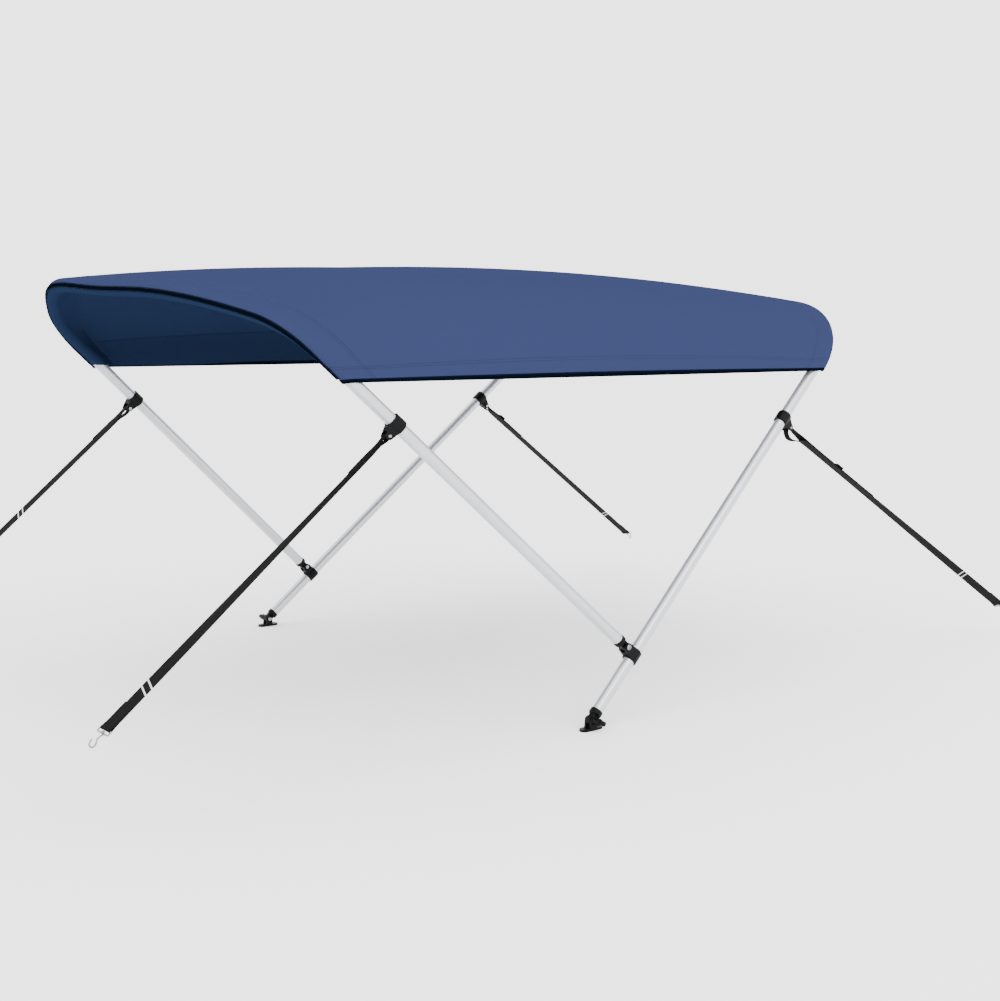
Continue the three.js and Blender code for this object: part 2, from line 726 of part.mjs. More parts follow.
function jawSlide(lean) {
  const outline = new THREE.Shape();
  outline.moveTo(0, jawEar.half);
  outline.lineTo(jaw.pinOffset - jawEar.roundFrom, jawEar.half);
  outline.absarc(jaw.pinOffset, 0, jawEar.radius, jawEar.arc, -jawEar.arc, true);
  outline.lineTo(jaw.pinOffset - jawEar.roundFrom, -jawEar.half);
  outline.lineTo(0, -jawEar.half);
  const ears = plateAcross(outline, -jawEar.outer, jawEar.outer, arcSegments.jawEar);
  const slotFloor = jaw.pinOffset - jaw.tongueRadius - 2 * gap;
  const cuts = ringCuts(jaw, lean, slotFloor, earInner, pinHoleRadius, jaw.pinOffset);
  return carve([tubeRing(jaw.outerRadius, jaw.length, lean), ears], cuts);
}

// A cross-headed screw along Y, head outwards, with a nut at its other end.
function jawScrew() {
  const face = jawEar.outer + gap;
  const nutEnd = -face - screwNut.length;
  const headEnd = face + screwHead.length;
  const screw = turned([
    [0, nutEnd],
    [screwNut.radius, nutEnd],
    [screwNut.radius, -face],
    [pinRadius, -face],
    [pinRadius, face],
    [screwHead.radius, face],
    [screwHead.radius, face + screwHead.rim],
    [screwHead.radius - screwHead.edge, headEnd],
    [0, headEnd],
  ], pinSides);
  const across = [screwSlot.length / 2, screwSlot.width / 2];
  const slots = [across, [...across].reverse()].map(([halfX, halfZ]) => (
    block([-halfX, headEnd - screwSlot.depth, -halfZ], [halfX, cutReach, halfZ])));
  return carve([screw], slots);
}

for (const [place, side] of sides) {
  const leg = mainBow.legFrame(side, jaw.along);
  const frame = { origin: leg.origin, x: leg.x.clone().negate(), y: vec(0, -1, 0), z: mainBow.up.clone() };
  addPiece(`jaw_slide_${place}`, placed(jawSlide(-side * mainBow.lean), frame), 'moulding');
  const screw = jawScrew().scale(1, -side, 1).translate(jaw.pinOffset, 0, 0);
  addPiece(`jaw_screw_${place}`, placed(screw, frame), 'steel');
}

// Strap clamps: a ring on a leg with two ears, and the bolt that the gathered webbing loops round
const clampEar = { thickness: 3, footHalf: 12.5, roundFrom: 12, arc: 1.15 };
const clampSlotHalf = webbing.loopWidth / 2 + clamp.loopClearance;
const clampOuterFace = clampSlotHalf + clampEar.thickness;
const boltHead = { radius: 3.6, length: 2, edge: 1 };
const boltNut = { radius: 4, length: 3 };
const boltRadius = 2.4;
const loopThickness = (webbing.thickness * webbing.width) / webbing.loopWidth;
const loopRadius = boltRadius + 2 * gap + loopThickness / 2;

function strapClamp() {
  const outline = new THREE.Shape();
  outline.moveTo(0, clampEar.footHalf);
  outline.lineTo(clampEar.roundFrom, clampEar.footHalf);
  outline.absarc(clamp.boltOffset, 0, clamp.earRadius, clampEar.arc, -clampEar.arc, true);
  outline.lineTo(clampEar.roundFrom, -clampEar.footHalf);
  outline.lineTo(0, -clampEar.footHalf);
  const ears = plateAcross(outline, -clampOuterFace, clampOuterFace, arcSegments.clampEar);
  const slotFloor = clamp.boltOffset - loopRadius - loopThickness / 2 - 2 * gap;
  const cuts = ringCuts(clamp, 0, slotFloor, clampSlotHalf, boltRadius + gap, clamp.boltOffset);
  return carve([tubeRing(clamp.outerRadius, clamp.length, 0), ears], cuts);
}

function clampBolt() {
  const face = clampOuterFace + gap;
  const nutEnd = -face - boltNut.length;
  const headEnd = face + boltHead.length;
  return turned([
    [0, nutEnd],
    [boltNut.radius, nutEnd],
    [boltNut.radius, -face],
    [boltRadius, -face],
    [boltRadius, face],
    [boltHead.radius, face],
    [boltHead.radius - boltHead.edge, headEnd],
    [0, headEnd],
  ], boltSides);
}

// Straps: webbing looped round the clamp's bolt, and folded round a wire ring with a hook

const strapTurn = { leaveEars: 12.5, settleOver: 45, steadyAt: 120, steadyBeforeRing: 30 };

// How a strap lies: its bolt, its direction, its width direction and its face direction along the way.
function strapLay(strap) {
  const bow = strap.bow === 'front' ? frontBow : mainBow;
  const leg = bow.legFrame(strap.side, bow.size.clampAt);
  const bolt = leg.origin.clone().addScaledVector(leg.x, clamp.boltOffset);
  const way = vec(...strap.end).sub(bolt);
  const length = way.length();
  way.normalize();
  const boltAxis = leg.y.clone();
  if (way.clone().cross(boltAxis).z < 0) {
    boltAxis.negate();
  }
  const square = boltAxis.clone().addScaledVector(way, -boltAxis.dot(way)).normalize();
  const { leaveEars, settleOver, steadyAt, steadyBeforeRing } = strapTurn;
  const earlyEnd = strap.slider ? Math.min(strap.slider - slider.length, steadyAt) : steadyAt;
  const lateStart = strap.slider ? strap.slider + slider.length : steadyAt;

  function width(distance) {
    const settle = THREE.MathUtils.smoothstep(distance, leaveEars, leaveEars + settleOver);
    const early = strap.turn[0] * THREE.MathUtils.smoothstep(distance, leaveEars, earlyEnd);
    const lateShare = THREE.MathUtils.smoothstep(distance, lateStart, length - steadyBeforeRing);
    const turn = THREE.MathUtils.degToRad(early + (strap.turn[1] - strap.turn[0]) * lateShare);
    return boltAxis.clone().lerp(square, settle).normalize().applyAxisAngle(way, turn);
  }

  function face(distance) {
    return way.clone().cross(width(distance)).normalize();
  }

  function point(distance, lift) {
    return bolt.clone().addScaledVector(way, distance).addScaledVector(face(distance), lift);
  }

  return { leg, way, length, width, face, point };
}

// Round the bolt the webbing is folded lengthwise. It opens out to its full width on the way from there.
function webWidth(strap, distance) {
  const beforeSlider = strap.slider ? strap.slider - slider.length : webbing.spreadAt;
  const spreadAt = Math.min(webbing.spreadAt, beforeSlider);
  const spread = THREE.MathUtils.smoothstep(distance, strapTurn.leaveEars, spreadAt);
  return THREE.MathUtils.lerp(webbing.loopWidth, webbing.width, spread);
}

function webThickness(strap, distance) {
  return (webbing.thickness * webbing.width) / webWidth(strap, distance);
}

// Half the way between the middles of two strands that lie on each other.
function strandLift(strap, distance) {
  return (webThickness(strap, distance) + webbing.betweenStrands) / 2;
}

const webSteps = {
  sliderHalf: 17, short: 22, shortUntil: 130, longFrom: 170, long: 64, foldTurn: 6, foldBack: [34, 12],
  foldEase: 20,
};
const lowerStrand = [{ share: 0.72, sag: 0.42 }, { share: 0.45, sag: 0.85 }, { share: 0.2, sag: 1 }];
const loopAngles = [225, 195, 165, 135, 110, 80];
const underBoltSag = 0.78;

// The webbing's path as [distance from the bolt, lift off the strap's middle], from its fold to its tail.
function strapRoute(strap, length) {
  const { sliderHalf, short, shortUntil, longFrom, long, foldTurn, foldBack, foldEase } = webSteps;
  const lift = (distance) => strandLift(strap, distance);
  const marks = [strap.join];
  if (strap.slider) {
    marks.push(strap.slider - sliderHalf, strap.slider + sliderHalf);
  }
  marks.push(strap.tail);
  for (let mark = strap.join + short; mark < shortUntil; mark += short) {
    marks.push(mark);
  }
  for (let mark = longFrom; mark < length - webbing.foldLength - foldEase; mark += long) {
    marks.push(mark);
  }
  marks.sort((a, b) => a - b);
  const kept = marks.filter((mark) => !strap.slider || Math.abs(mark - strap.slider) >= sliderHalf);
  const route = [];
  const foldPlaces = [webbing.foldLength, ...foldBack].map((back) => length - back);
  for (const place of foldPlaces) {
    route.push([place, lift(place)]);
  }
  for (let step = 0; step <= foldTurn; step += 1) {
    const angle = Math.PI / 2 - (step / foldTurn) * Math.PI;
    route.push([length + webbing.foldRadius * Math.cos(angle), webbing.foldRadius * Math.sin(angle)]);
  }
  for (const place of foldPlaces.reverse()) {
    route.push([place, -lift(place)]);
  }
  for (const mark of [...kept].reverse()) {
    route.push([mark, -lift(mark)]);
  }
  const { join, droop } = strap;
  const joinLift = lift(join);
  for (const { share, sag } of lowerStrand) {
    route.push([join * share, -joinLift - (droop - joinLift) * sag]);
  }
  route.push([0, -Math.max(loopRadius, droop * underBoltSag)]);
  for (const degrees of loopAngles) {
    const angle = THREE.MathUtils.degToRad(degrees);
    route.push([loopRadius * Math.cos(angle), loopRadius * Math.sin(angle)]);
  }
  route.push([join / 2, (loopRadius + joinLift) / 2]);
  for (const mark of kept.filter((place) => place <= strap.tail)) {
    route.push([mark, lift(mark)]);
    if (strap.slider && mark === strap.slider - sliderHalf) {
      route.push(...weave(strap.slider));
    }
  }
  return route;
}

// The full webbing's strand beside another, and a slider's underside on it.
const flatLift = (webbing.thickness + webbing.betweenStrands) / 2;
const sliderLift = flatLift + webbing.thickness / 2 + gap;
const weaveTurn = { outer: 8.6, inner: 3.4 };

// The tail strand's way under the slider's outer bars and over its centre bar.
function weave(place) {
  const over = sliderLift + slider.thickness + gap + webbing.thickness / 2;
  const { outer, inner } = weaveTurn;
  return [[-outer, flatLift], [-inner, over], [inner, over], [outer, flatLift]]
    .map(([along, height]) => [place + along, height]);
}

function sliderPlate() {
  const halfLength = slider.length / 2;
  const halfWidth = slider.width / 2;
  const corner = slider.cornerRadius;
  const outline = new THREE.Shape();
  outline.absarc(halfLength - corner, halfWidth - corner, corner, 0, Math.PI / 2);
  outline.absarc(corner - halfLength, halfWidth - corner, corner, Math.PI / 2, Math.PI);
  outline.absarc(corner - halfLength, corner - halfWidth, corner, Math.PI, 1.5 * Math.PI);
  outline.absarc(halfLength - corner, corner - halfWidth, corner, 1.5 * Math.PI, 2 * Math.PI);
  const { thickness } = slider;
  const settings = { depth: thickness, bevelEnabled: false, curveSegments: arcSegments.sliderCorner };
  const plate = new THREE.ExtrudeGeometry(outline, settings);
  const slotHalfWidth = webbing.width / 2 + 2 * gap;
  const near = slider.centreBar / 2;
  const far = halfLength - slider.outerBar;
  const slots = [[-far, -near], [near, far]].map(([low, high]) => (
    block([low, -slotHalfWidth, -1], [high, slotHalfWidth, thickness + 1])));
  return carve([plate], slots);
}

const hookEyeAngles = [50, 95, 140, 185, 230, 275, 320];
const hookBendAngles = [-135, -95, -55, -15, 25, 65, 100];
const hookShank = [[6.5, -1], [13, -1.2]];
const hookTip = [18.5, 8.4];

// The hook's wire: a small eye round the ring, a shank and an open bend.
function hookRoute() {
  const eye = hookEyeAngles.map((degrees) => [degrees, 0, hook.eyeRadius]);
  const bend = hookBendAngles.map((degrees) => [degrees, hook.bendCentre, hook.bendRadius]);
  const onCircle = ([degrees, centre, radius]) => {
    const angle = THREE.MathUtils.degToRad(degrees);
    return [centre + radius * Math.cos(angle), radius * Math.sin(angle)];
  };
  return [...eye.map(onCircle), ...hookShank, ...bend.map(onCircle), hookTip];
}

function ringCorners(lay) {
  const width = lay.width(lay.length);
  const points = [];
  const quarter = Math.PI / 2;
  [[1, 1, 0], [-1, 1, 1], [-1, -1, 2], [1, -1, 3]].forEach(([ahead, aside, turns]) => {
    const reach = strapRing.depth / 2 - strapRing.cornerRadius;
    const span = strapRing.halfWidth - strapRing.cornerRadius;
    for (const share of [0, 0.5, 1]) {
      const angle = (turns + share) * quarter;
      const along = strapRing.depth / 2 + ahead * reach + strapRing.cornerRadius * Math.cos(angle);
      const across = aside * span + strapRing.cornerRadius * Math.sin(angle);
      points.push(lay.point(lay.length, 0).addScaledVector(lay.way, along).addScaledVector(width, across));
    }
  });
  return points;
}

for (const strap of straps) {
  const lay = strapLay(strap);
  const outward = Math.sign(lay.leg.y.y) * strap.side;
  addPiece(`strap_clamp_${strap.name}`, placed(strapClamp(), lay.leg), 'moulding');
  const bolt = clampBolt().scale(1, outward, 1).translate(clamp.boltOffset, 0, 0);
  addPiece(`clamp_bolt_${strap.name}`, placed(bolt, lay.leg), 'steel');

  const route = strapRoute(strap, lay.length);
  const web = route.map(([distance, lift]) => (
    [-0.5, 0.5].map((share) => lay.point(distance, lift)
      .addScaledVector(lay.width(distance), share * webWidth(strap, distance)))));
  const thicknesses = route.map(([distance]) => webThickness(strap, distance));
  addPiece(`strap_${strap.name}`, sheet(web, thicknesses), 'webbing');

  if (strap.slider) {
    const frame = {
      origin: lay.point(strap.slider, sliderLift),
      x: lay.way,
      y: lay.width(strap.slider),
      z: lay.face(strap.slider),
    };
    addPiece(`slider_${strap.name}`, placed(sliderPlate(), frame), 'moulding');
  }

  addPiece(`strap_ring_${strap.name}`, wireRing(ringCorners(lay), lay.face(lay.length)), 'steel');
  const wirePoints = hookRoute().map(([along, aside]) => (
    lay.point(lay.length, aside).addScaledVector(lay.way, strapRing.depth + along)));
  const curve = new THREE.CatmullRomCurve3(wirePoints, false, 'centripetal');
  addPiece(`strap_hook_${strap.name}`, roundAlong(curve, wire.radius, wire.sides, hook.steps), 'steel');
}

export default group;
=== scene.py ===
# Looks for the bimini top: smooth cloth, webbing, tube and wire in place of the plain solids, a
# procedural material on every surface, the photograph's camera and soft studio light. Metres.

import math

import bpy
import numpy as np
from mathutils import Matrix, Vector


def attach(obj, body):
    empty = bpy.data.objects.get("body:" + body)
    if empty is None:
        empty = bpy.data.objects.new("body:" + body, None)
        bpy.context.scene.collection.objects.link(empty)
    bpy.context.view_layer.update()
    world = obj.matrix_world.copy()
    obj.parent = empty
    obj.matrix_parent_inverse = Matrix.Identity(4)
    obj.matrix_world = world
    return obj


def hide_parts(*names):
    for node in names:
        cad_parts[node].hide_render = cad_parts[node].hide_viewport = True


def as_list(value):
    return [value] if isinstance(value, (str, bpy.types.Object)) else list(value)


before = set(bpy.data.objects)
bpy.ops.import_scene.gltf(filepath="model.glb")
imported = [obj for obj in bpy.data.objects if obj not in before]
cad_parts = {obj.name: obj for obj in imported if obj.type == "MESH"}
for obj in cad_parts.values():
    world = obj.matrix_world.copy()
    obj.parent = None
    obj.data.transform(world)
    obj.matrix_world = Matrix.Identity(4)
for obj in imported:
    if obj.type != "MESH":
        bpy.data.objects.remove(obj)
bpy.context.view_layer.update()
scene = bpy.context.scene

# Driving dimensions, as in the part's source

MM = 0.001
GAP = 0.3 * MM
TUBE_RADIUS = 12.5 * MM
HINGE_HALF_SPACING = 651 * MM
PIN_HEIGHT = 20 * MM
JAW_ALONG = 171 * MM
JAW_PIN_OFFSET = 30.6 * MM
MAIN_RISE = math.radians(40.76)
MAIN_LEAN = 0.0927
BULGE_CENTRE = 0.7346
BULGE_SPREAD = 0.1269
WRAP_RADIUS = 15.25 * MM
CROWN_RISE = 48.8 * MM
CROWDING = 0.45
REAR_SLACK = 5.8 * MM
SEAM_SETBACK = 40 * MM
CUT_EDGE_SETBACK = 50 * MM
SLEEVE_RADIUS = 15 * MM
SLEEVE_SETBACK = 14 * MM
SEWN_OFFSET = 1.75 * MM
NORMAL_STEP = 0.004
TAPE_RADIUS = 16.75 * MM
TAPE_WIDTH = 10 * MM
TAPE_SETBACK = 11 * MM
HEM_DEPTH = 9 * MM
CLAMP_BOLT_OFFSET = 28.9 * MM
LEAVE_EARS = 12.5 * MM
SETTLE_OVER = 45 * MM
STEADY_AT = 120 * MM
STEADY_BEFORE_RING = 30 * MM
WEB_WIDTH = 25 * MM
WEB_THICKNESS = 1.3 * MM
WEB_SOLID_THICKNESS = 1.5 * MM
WEB_LOOP_WIDTH = 12.5 * MM
WEB_SPREAD_AT = 60 * MM
BETWEEN_STRANDS = 0.5 * MM
FOLD_LENGTH = 55 * MM
FOLD_RADIUS = 2.65 * MM
LOOP_RADIUS = 4.5 * MM
UNDER_BOLT_SAG = 0.78
SLIDER_LENGTH = 25 * MM
SLIDER_THICKNESS = 2.5 * MM
WIRE_RADIUS = 1.5 * MM
RING_HALF_WIDTH = 15 * MM
RING_DEPTH = 9 * MM
RING_CORNER = 3 * MM
HOOK_EYE_RADIUS = 3.5 * MM
HOOK_BEND_CENTRE = 22 * MM
HOOK_BEND_RADIUS = 6.5 * MM

# Where the front bow's pin lies on the main bow's leg, as X and Z
JAW_PIN = (
    JAW_ALONG * math.cos(MAIN_RISE) - JAW_PIN_OFFSET * math.sin(MAIN_RISE),
    PIN_HEIGHT + JAW_ALONG * math.sin(MAIN_RISE) + JAW_PIN_OFFSET * math.cos(MAIN_RISE),
)

# The bow on the deck hinges. Distances run along the bow's plane from its pin, and crown is the half
# angle of its arc.
MAIN_BOW = {
    "rise": MAIN_RISE, "heading": 1, "lean": MAIN_LEAN, "foot": (0, PIN_HEIGHT),
    "half_width": HINGE_HALF_SPACING, "tube_start": 24.3 * MM, "straight": 1067.7 * MM,
    "corner_radius": 249.3 * MM, "crown": 0.199, "hem": 1055.5 * MM, "clamp_at": 891.3 * MM, "bulge": 0,
}

# The bow that pivots on the jaw slides. Its far corner stands out a little, as in the photograph.
FRONT_BOW = {
    "rise": math.radians(42.77), "heading": -1, "lean": 0.1103, "foot": JAW_PIN,
    "half_width": HINGE_HALF_SPACING - MAIN_LEAN * JAW_ALONG, "tube_start": 26 * MM, "straight": 890.7 * MM,
    "corner_radius": 139.6 * MM, "crown": 0.3486, "hem": 826.1 * MM, "clamp_at": 711.1 * MM,
    "bulge": 51.3 * MM,
}

# Straps, in millimetres and degrees: which bow and side, where the webbing folds round its ring, how far
# the lower strand droops, where the strands join, the slider's place or 0, the tail's end, the twist near
# the bow and at the ring, and the places of the pale marks, measured from the folded end.
STRAPS = [
    {"name": "front_near", "bow": "front", "side": -1, "end": (-1012.2, -590.7, 172.4),
     "droop": 5, "join": 26, "slider": 0, "tail": 104, "turn": (0, -18), "marks": (86, 101)},
    {"name": "front_far", "bow": "front", "side": 1, "end": (-970.2, 636.3, 122.7),
     "droop": 8, "join": 40, "slider": 0, "tail": 112, "turn": (0, -4), "marks": (370, 384)},
    {"name": "rear_near", "bow": "main", "side": -1, "end": (1459.5, -663.9, 80.5),
     "droop": 22, "join": 62, "slider": 188, "tail": 330, "turn": (4, -18), "marks": (166, 180)},
    {"name": "rear_far", "bow": "main", "side": 1, "end": (1424.9, 721.5, 116.5),
     "droop": 7, "join": 32, "slider": 76, "tail": 190, "turn": (-12, -20), "marks": (140, 154)},
]
MARK_WIDTH = 3.2 * MM
MARK_SLANT = 0.45

# Cloth as it shows: thinner than its solid, with hem and facing seams
CANOPY_THICKNESS = 1.1 * MM
SLEEVE_THICKNESS = 0.8 * MM
TAPE_THICKNESS = 0.8 * MM
TAPE_SWELL = 0.25 * MM
HEM_TAPE_SWELL = 0.15 * MM
HEM_FOLD_ROUNDNESS = 0.8
FACING_THICKNESS = 0.6 * MM
FACING_OFFSET = 0.75 * MM
FACING_START = 3 * MM
HEM_SEAM = 38 * MM
FACING_SEAM = 88 * MM

# Rows of stitches: their places, and the length, pitch and radius of a thread
BOW_SEAM_ROWS = (41 * MM, 48 * MM)
HEM_SEAM_ROWS = (HEM_SEAM - 3 * MM, HEM_SEAM + 3 * MM)
HEM_TAPE_ROW = HEM_DEPTH - 2 * MM
SEAM_THREAD = {"length": 2.9 * MM, "pitch": 3.9 * MM, "radius": 0.34 * MM}
TAPE_THREAD = {"length": 2.4 * MM, "pitch": 3.4 * MM, "radius": 0.28 * MM}
# A thread's profile, as shares of its half length and radius, and its height against its width
THREAD_PROFILE = ((-1, 0.35), (-0.7, 1), (0.7, 1), (1, 0.35))
THREAD_FLATNESS = 0.8

# How a seam draws the cloth in, and the ripples beside it: lengths with their shares of the height
BOW_SEAM = 45 * MM
GROOVE_DEPTH = 0.55 * MM
GROOVE_WIDTH = 1.6 * MM
RIPPLE_HEIGHT = 0.35 * MM
RIPPLES = ((23 * MM, 0.6), (37 * MM, 0.4))
RIPPLE_REACH = 14 * MM
RIPPLE_STARTS = (0.3, 1.1, 1.9, 2.7)

# The strands between the join and the bolt: shares of the way, and for the lower one also of the droop
LOWER_STRAND = ((0.86, 0.13), (0.72, 0.42), (0.58, 0.68), (0.45, 0.85), (0.32, 0.95), (0.2, 1))
UPPER_STRAND = (0.25, 0.5, 0.75)
# Degrees that the webbing turns through round the bolt
LOOP_TURN = range(232, 70, -12)
# Distances from the slider's middle: where the upper strand lies over it and where beside it, how far the
# close stops reach, and how far the others keep away
OVER_SLIDER = 2.9 * MM
BESIDE_SLIDER = 9 * MM
SLIDER_REACH = 10 * MM
SLIDER_CLEARANCE = 12 * MM
# The other stops: the last before the fold's arc, and the step between them
FOLD_CLEARANCE = 10 * MM
STRAND_STEP = 7 * MM

# The hook's wire: degrees of its two arcs, and its other points as places along and aside
HOOK_EYE_TURN = range(50, 321, 45)
HOOK_BEND_TURN = (-135, -95, -55, -15, 25, 65, 100)
HOOK_SHANK = [(6.5 * MM, -1 * MM), (13 * MM, -1.2 * MM)]
HOOK_TIP = (18.5 * MM, 8.4 * MM)

# Steps of the meshes. The seam band is the canopy's finer stretch beside each bow.
ACROSS_STEPS = 220
ALONG_STEPS = 150
SEAM_BAND = 60 * MM
SEAM_BAND_STEPS = 30
WRAP_STEPS = 10
SLEEVE_POINTS = 30
TAPE_POINTS = 9
FACING_POINTS = 13
FACING_INSET = 14
TUBE_SIDES = 64
TUBE_LEG_POINTS = 12
TUBE_BEND_POINTS = 150
THREAD_SIDES = 6
WEB_POINTS = 7
FOLD_POINTS = 8
FOLD_ARC_POINTS = 15
SLIDER_POINTS = 21
WIRE_SIDES = 14
WIRE_STEPS = 6
CORNER_POINTS = 8
SHARP_EDGE = math.radians(50)
# A direction that no line of points runs along, and a length too small to matter
ASIDE = (0.31, 0.87, 0.38)
TINY = 1e-9

# Pitches of the weaves, and the webbing's edge from its middle
CLOTH_PITCH = 0.9 * MM
TAPE_PITCH = 0.7 * MM
RIB_PITCH = 1.7 * MM
CORD_PITCH = 2.1 * MM
WEB_EDGE_AT = 10.8 * MM

# Colours: the darker and the paler tone of each material
CANVAS_TONES = (0.0211, 0.0274, 0.0690), (0.0237, 0.0306, 0.0765)
# The inside tones are the canopy's cloth made darker, partly for its coating and mostly as painted shade
# under the top.
COATING_AND_PAINTED_SHADE_TONES = (0.0084, 0.0152, 0.0378), (0.0098, 0.0175, 0.0430)
# The facing's tones are darker still: painted shade on the band beside each side hem.
FACING_PAINTED_SHADE_TONES = (0.0071, 0.0134, 0.0332), (0.0082, 0.0152, 0.0375)
TAPE_TONES = (0.0006, 0.0017, 0.0046), (0.0009, 0.0024, 0.0062)
THREAD_TONES = (0.0022, 0.0050, 0.0130), (0.0040, 0.0090, 0.0220)
WEBBING_TONES = (0.0022, 0.0022, 0.0023), (0.0062, 0.0062, 0.0064)
WEBBING_EDGE = (0.0026, 0.0026, 0.0027)
MARK_COLOUR = (0.62, 0.62, 0.61)
TUBE_TONES = (0.50, 0.51, 0.54), (0.57, 0.58, 0.605)
STEEL_TONES = (0.20, 0.203, 0.207), (0.32, 0.323, 0.327)
MOULDING_TONES = (0.0016, 0.0018, 0.0020), (0.0030, 0.0033, 0.0036)
MOULDING_WORN = (0.011, 0.012, 0.013)

# Camera, floor and studio
CAMERA_YAW = math.radians(39.106)
CAMERA_PITCH = math.radians(7.149)
CAMERA_PLACE = (-1.9482, -2.7534, 0.8303)
CAMERA_LENS = 51.84
CAMERA_SENSOR = 36
CAMERA_REACH = 60
FLOOR_HALF = 30
FLOOR_COLOUR = (0.97, 0.97, 0.97, 1)
WHITE = (1, 1, 1, 1)
# The floor's own light, so that it meets the background without a horizon
FLOOR_LIFT = 0.3
WORLD_STRENGTH = 3.2
# Darker upright strips of the studio: degrees from the camera's view, half width in degrees and
# darkening, and the share of the half width that is darkest
STUDIO_STRIPS = ((68, 17, 0.75), (-75, 25, 0.25))
STRIP_CORE = 0.4


# Vector helpers on arrays

def unit(vectors):
    return vectors / np.linalg.norm(vectors, axis=-1, keepdims=True)


def ease(value, low, high):
    """0 up to low, 1 from high on, and a smooth rise between."""
    share = np.clip((np.asarray(value, float) - low) / (high - low), 0, 1)
    return share * share * (3 - 2 * share)


def mix(a, b, share):
    return a + (b - a) * share


# Bows

def bulge_share(place):
    """How far an uneven corner stands out at a place along the cloth, as a share of its most."""
    return np.exp(-(((place - BULGE_CENTRE) / BULGE_SPREAD) ** 2))


class Bow:
    """A tube bow: leg, corner, crown arc, corner and leg in one tilted plane, by length from its near end."""

    def __init__(self, rise, heading, lean, foot, half_width, tube_start, straight, corner_radius, crown,
                 hem, clamp_at, bulge):
        self.up = np.array([heading * math.cos(rise), 0, math.sin(rise)])
        self.side_way = np.array([heading * math.sin(rise), 0, -math.cos(rise)])
        self.foot = np.array([foot[0], 0, foot[1]])
        self.lean, self.half_width, self.tube_start = lean, half_width, tube_start
        self.corner_radius, self.bulge, self.clamp_at = corner_radius, bulge, clamp_at
        self.angle = math.atan(lean)
        self.corner_y = half_width - lean * straight - math.cos(self.angle) * corner_radius
        self.corner_up = straight - math.sin(self.angle) * corner_radius
        self.crown_radius = (self.corner_y + math.sin(crown) * corner_radius) / math.sin(crown)
        self.crown_up = self.corner_up + (corner_radius - self.crown_radius) * math.cos(crown)
        self.leg_length = (straight - tube_start) / math.cos(self.angle)
        self.corner_length = corner_radius * (math.pi / 2 - crown - self.angle)
        self.half = self.leg_length + self.corner_length + self.crown_radius * crown
        self.hem_length = (hem - tube_start) / math.cos(self.angle)
        self.cloth_length = 2 * (self.half - self.hem_length)

    def flat(self, length):
        """Places across and along the bow's plane."""
        side = np.where(length > self.half, 1.0, -1.0)
        from_foot = np.where(length > self.half, 2 * self.half - length, length)
        leg_up = self.tube_start + from_foot * math.cos(self.angle)
        turn = self.angle + (from_foot - self.leg_length) / self.corner_radius
        crown_turn = (self.half - from_foot) / self.crown_radius
        on_leg = from_foot < self.leg_length
        on_corner = from_foot < self.leg_length + self.corner_length
        across = np.where(
            on_leg, self.half_width - self.lean * leg_up,
            np.where(on_corner, self.corner_y + np.cos(turn) * self.corner_radius,
                     np.sin(crown_turn) * self.crown_radius))
        along = np.where(
            on_leg, leg_up,
            np.where(on_corner, self.corner_up + np.sin(turn) * self.corner_radius,
                     self.crown_up + np.cos(crown_turn) * self.crown_radius))
        return side * across, along

    def at(self, length):
        length = np.asarray(length, float)
        across, along = self.flat(length)
        across_ahead, along_ahead = self.flat(length + MM)
        outward = unit(np.stack([along - along_ahead, across_ahead - across], -1))
        place = (length - self.hem_length) / self.cloth_length
        bulge = self.bulge * np.maximum(0, bulge_share(place) - bulge_share(1))
        point = self.foot + self.up * (along + outward[..., 1] * bulge)[..., None]
        point[..., 1] += across + outward[..., 0] * bulge
        return point

    def heading_at(self, length):
        return unit(self.at(length + MM) - self.at(length - MM))

    def at_share(self, share):
        return self.hem_length + np.asarray(share, float) * self.cloth_length

    def leg_frame(self, side, along):
        """A place on a leg, the way square to the bow's plane, and the way across the leg."""
        origin = self.foot + self.up * along
        origin[1] = side * (self.half_width - self.lean * along)
        up = unit(self.up - np.array([0, side * self.lean, 0]))
        return origin, self.side_way, np.cross(up, self.side_way)


MAIN = Bow(**MAIN_BOW)
FRONT = Bow(**FRONT_BOW)


# Cloth surface between the bows

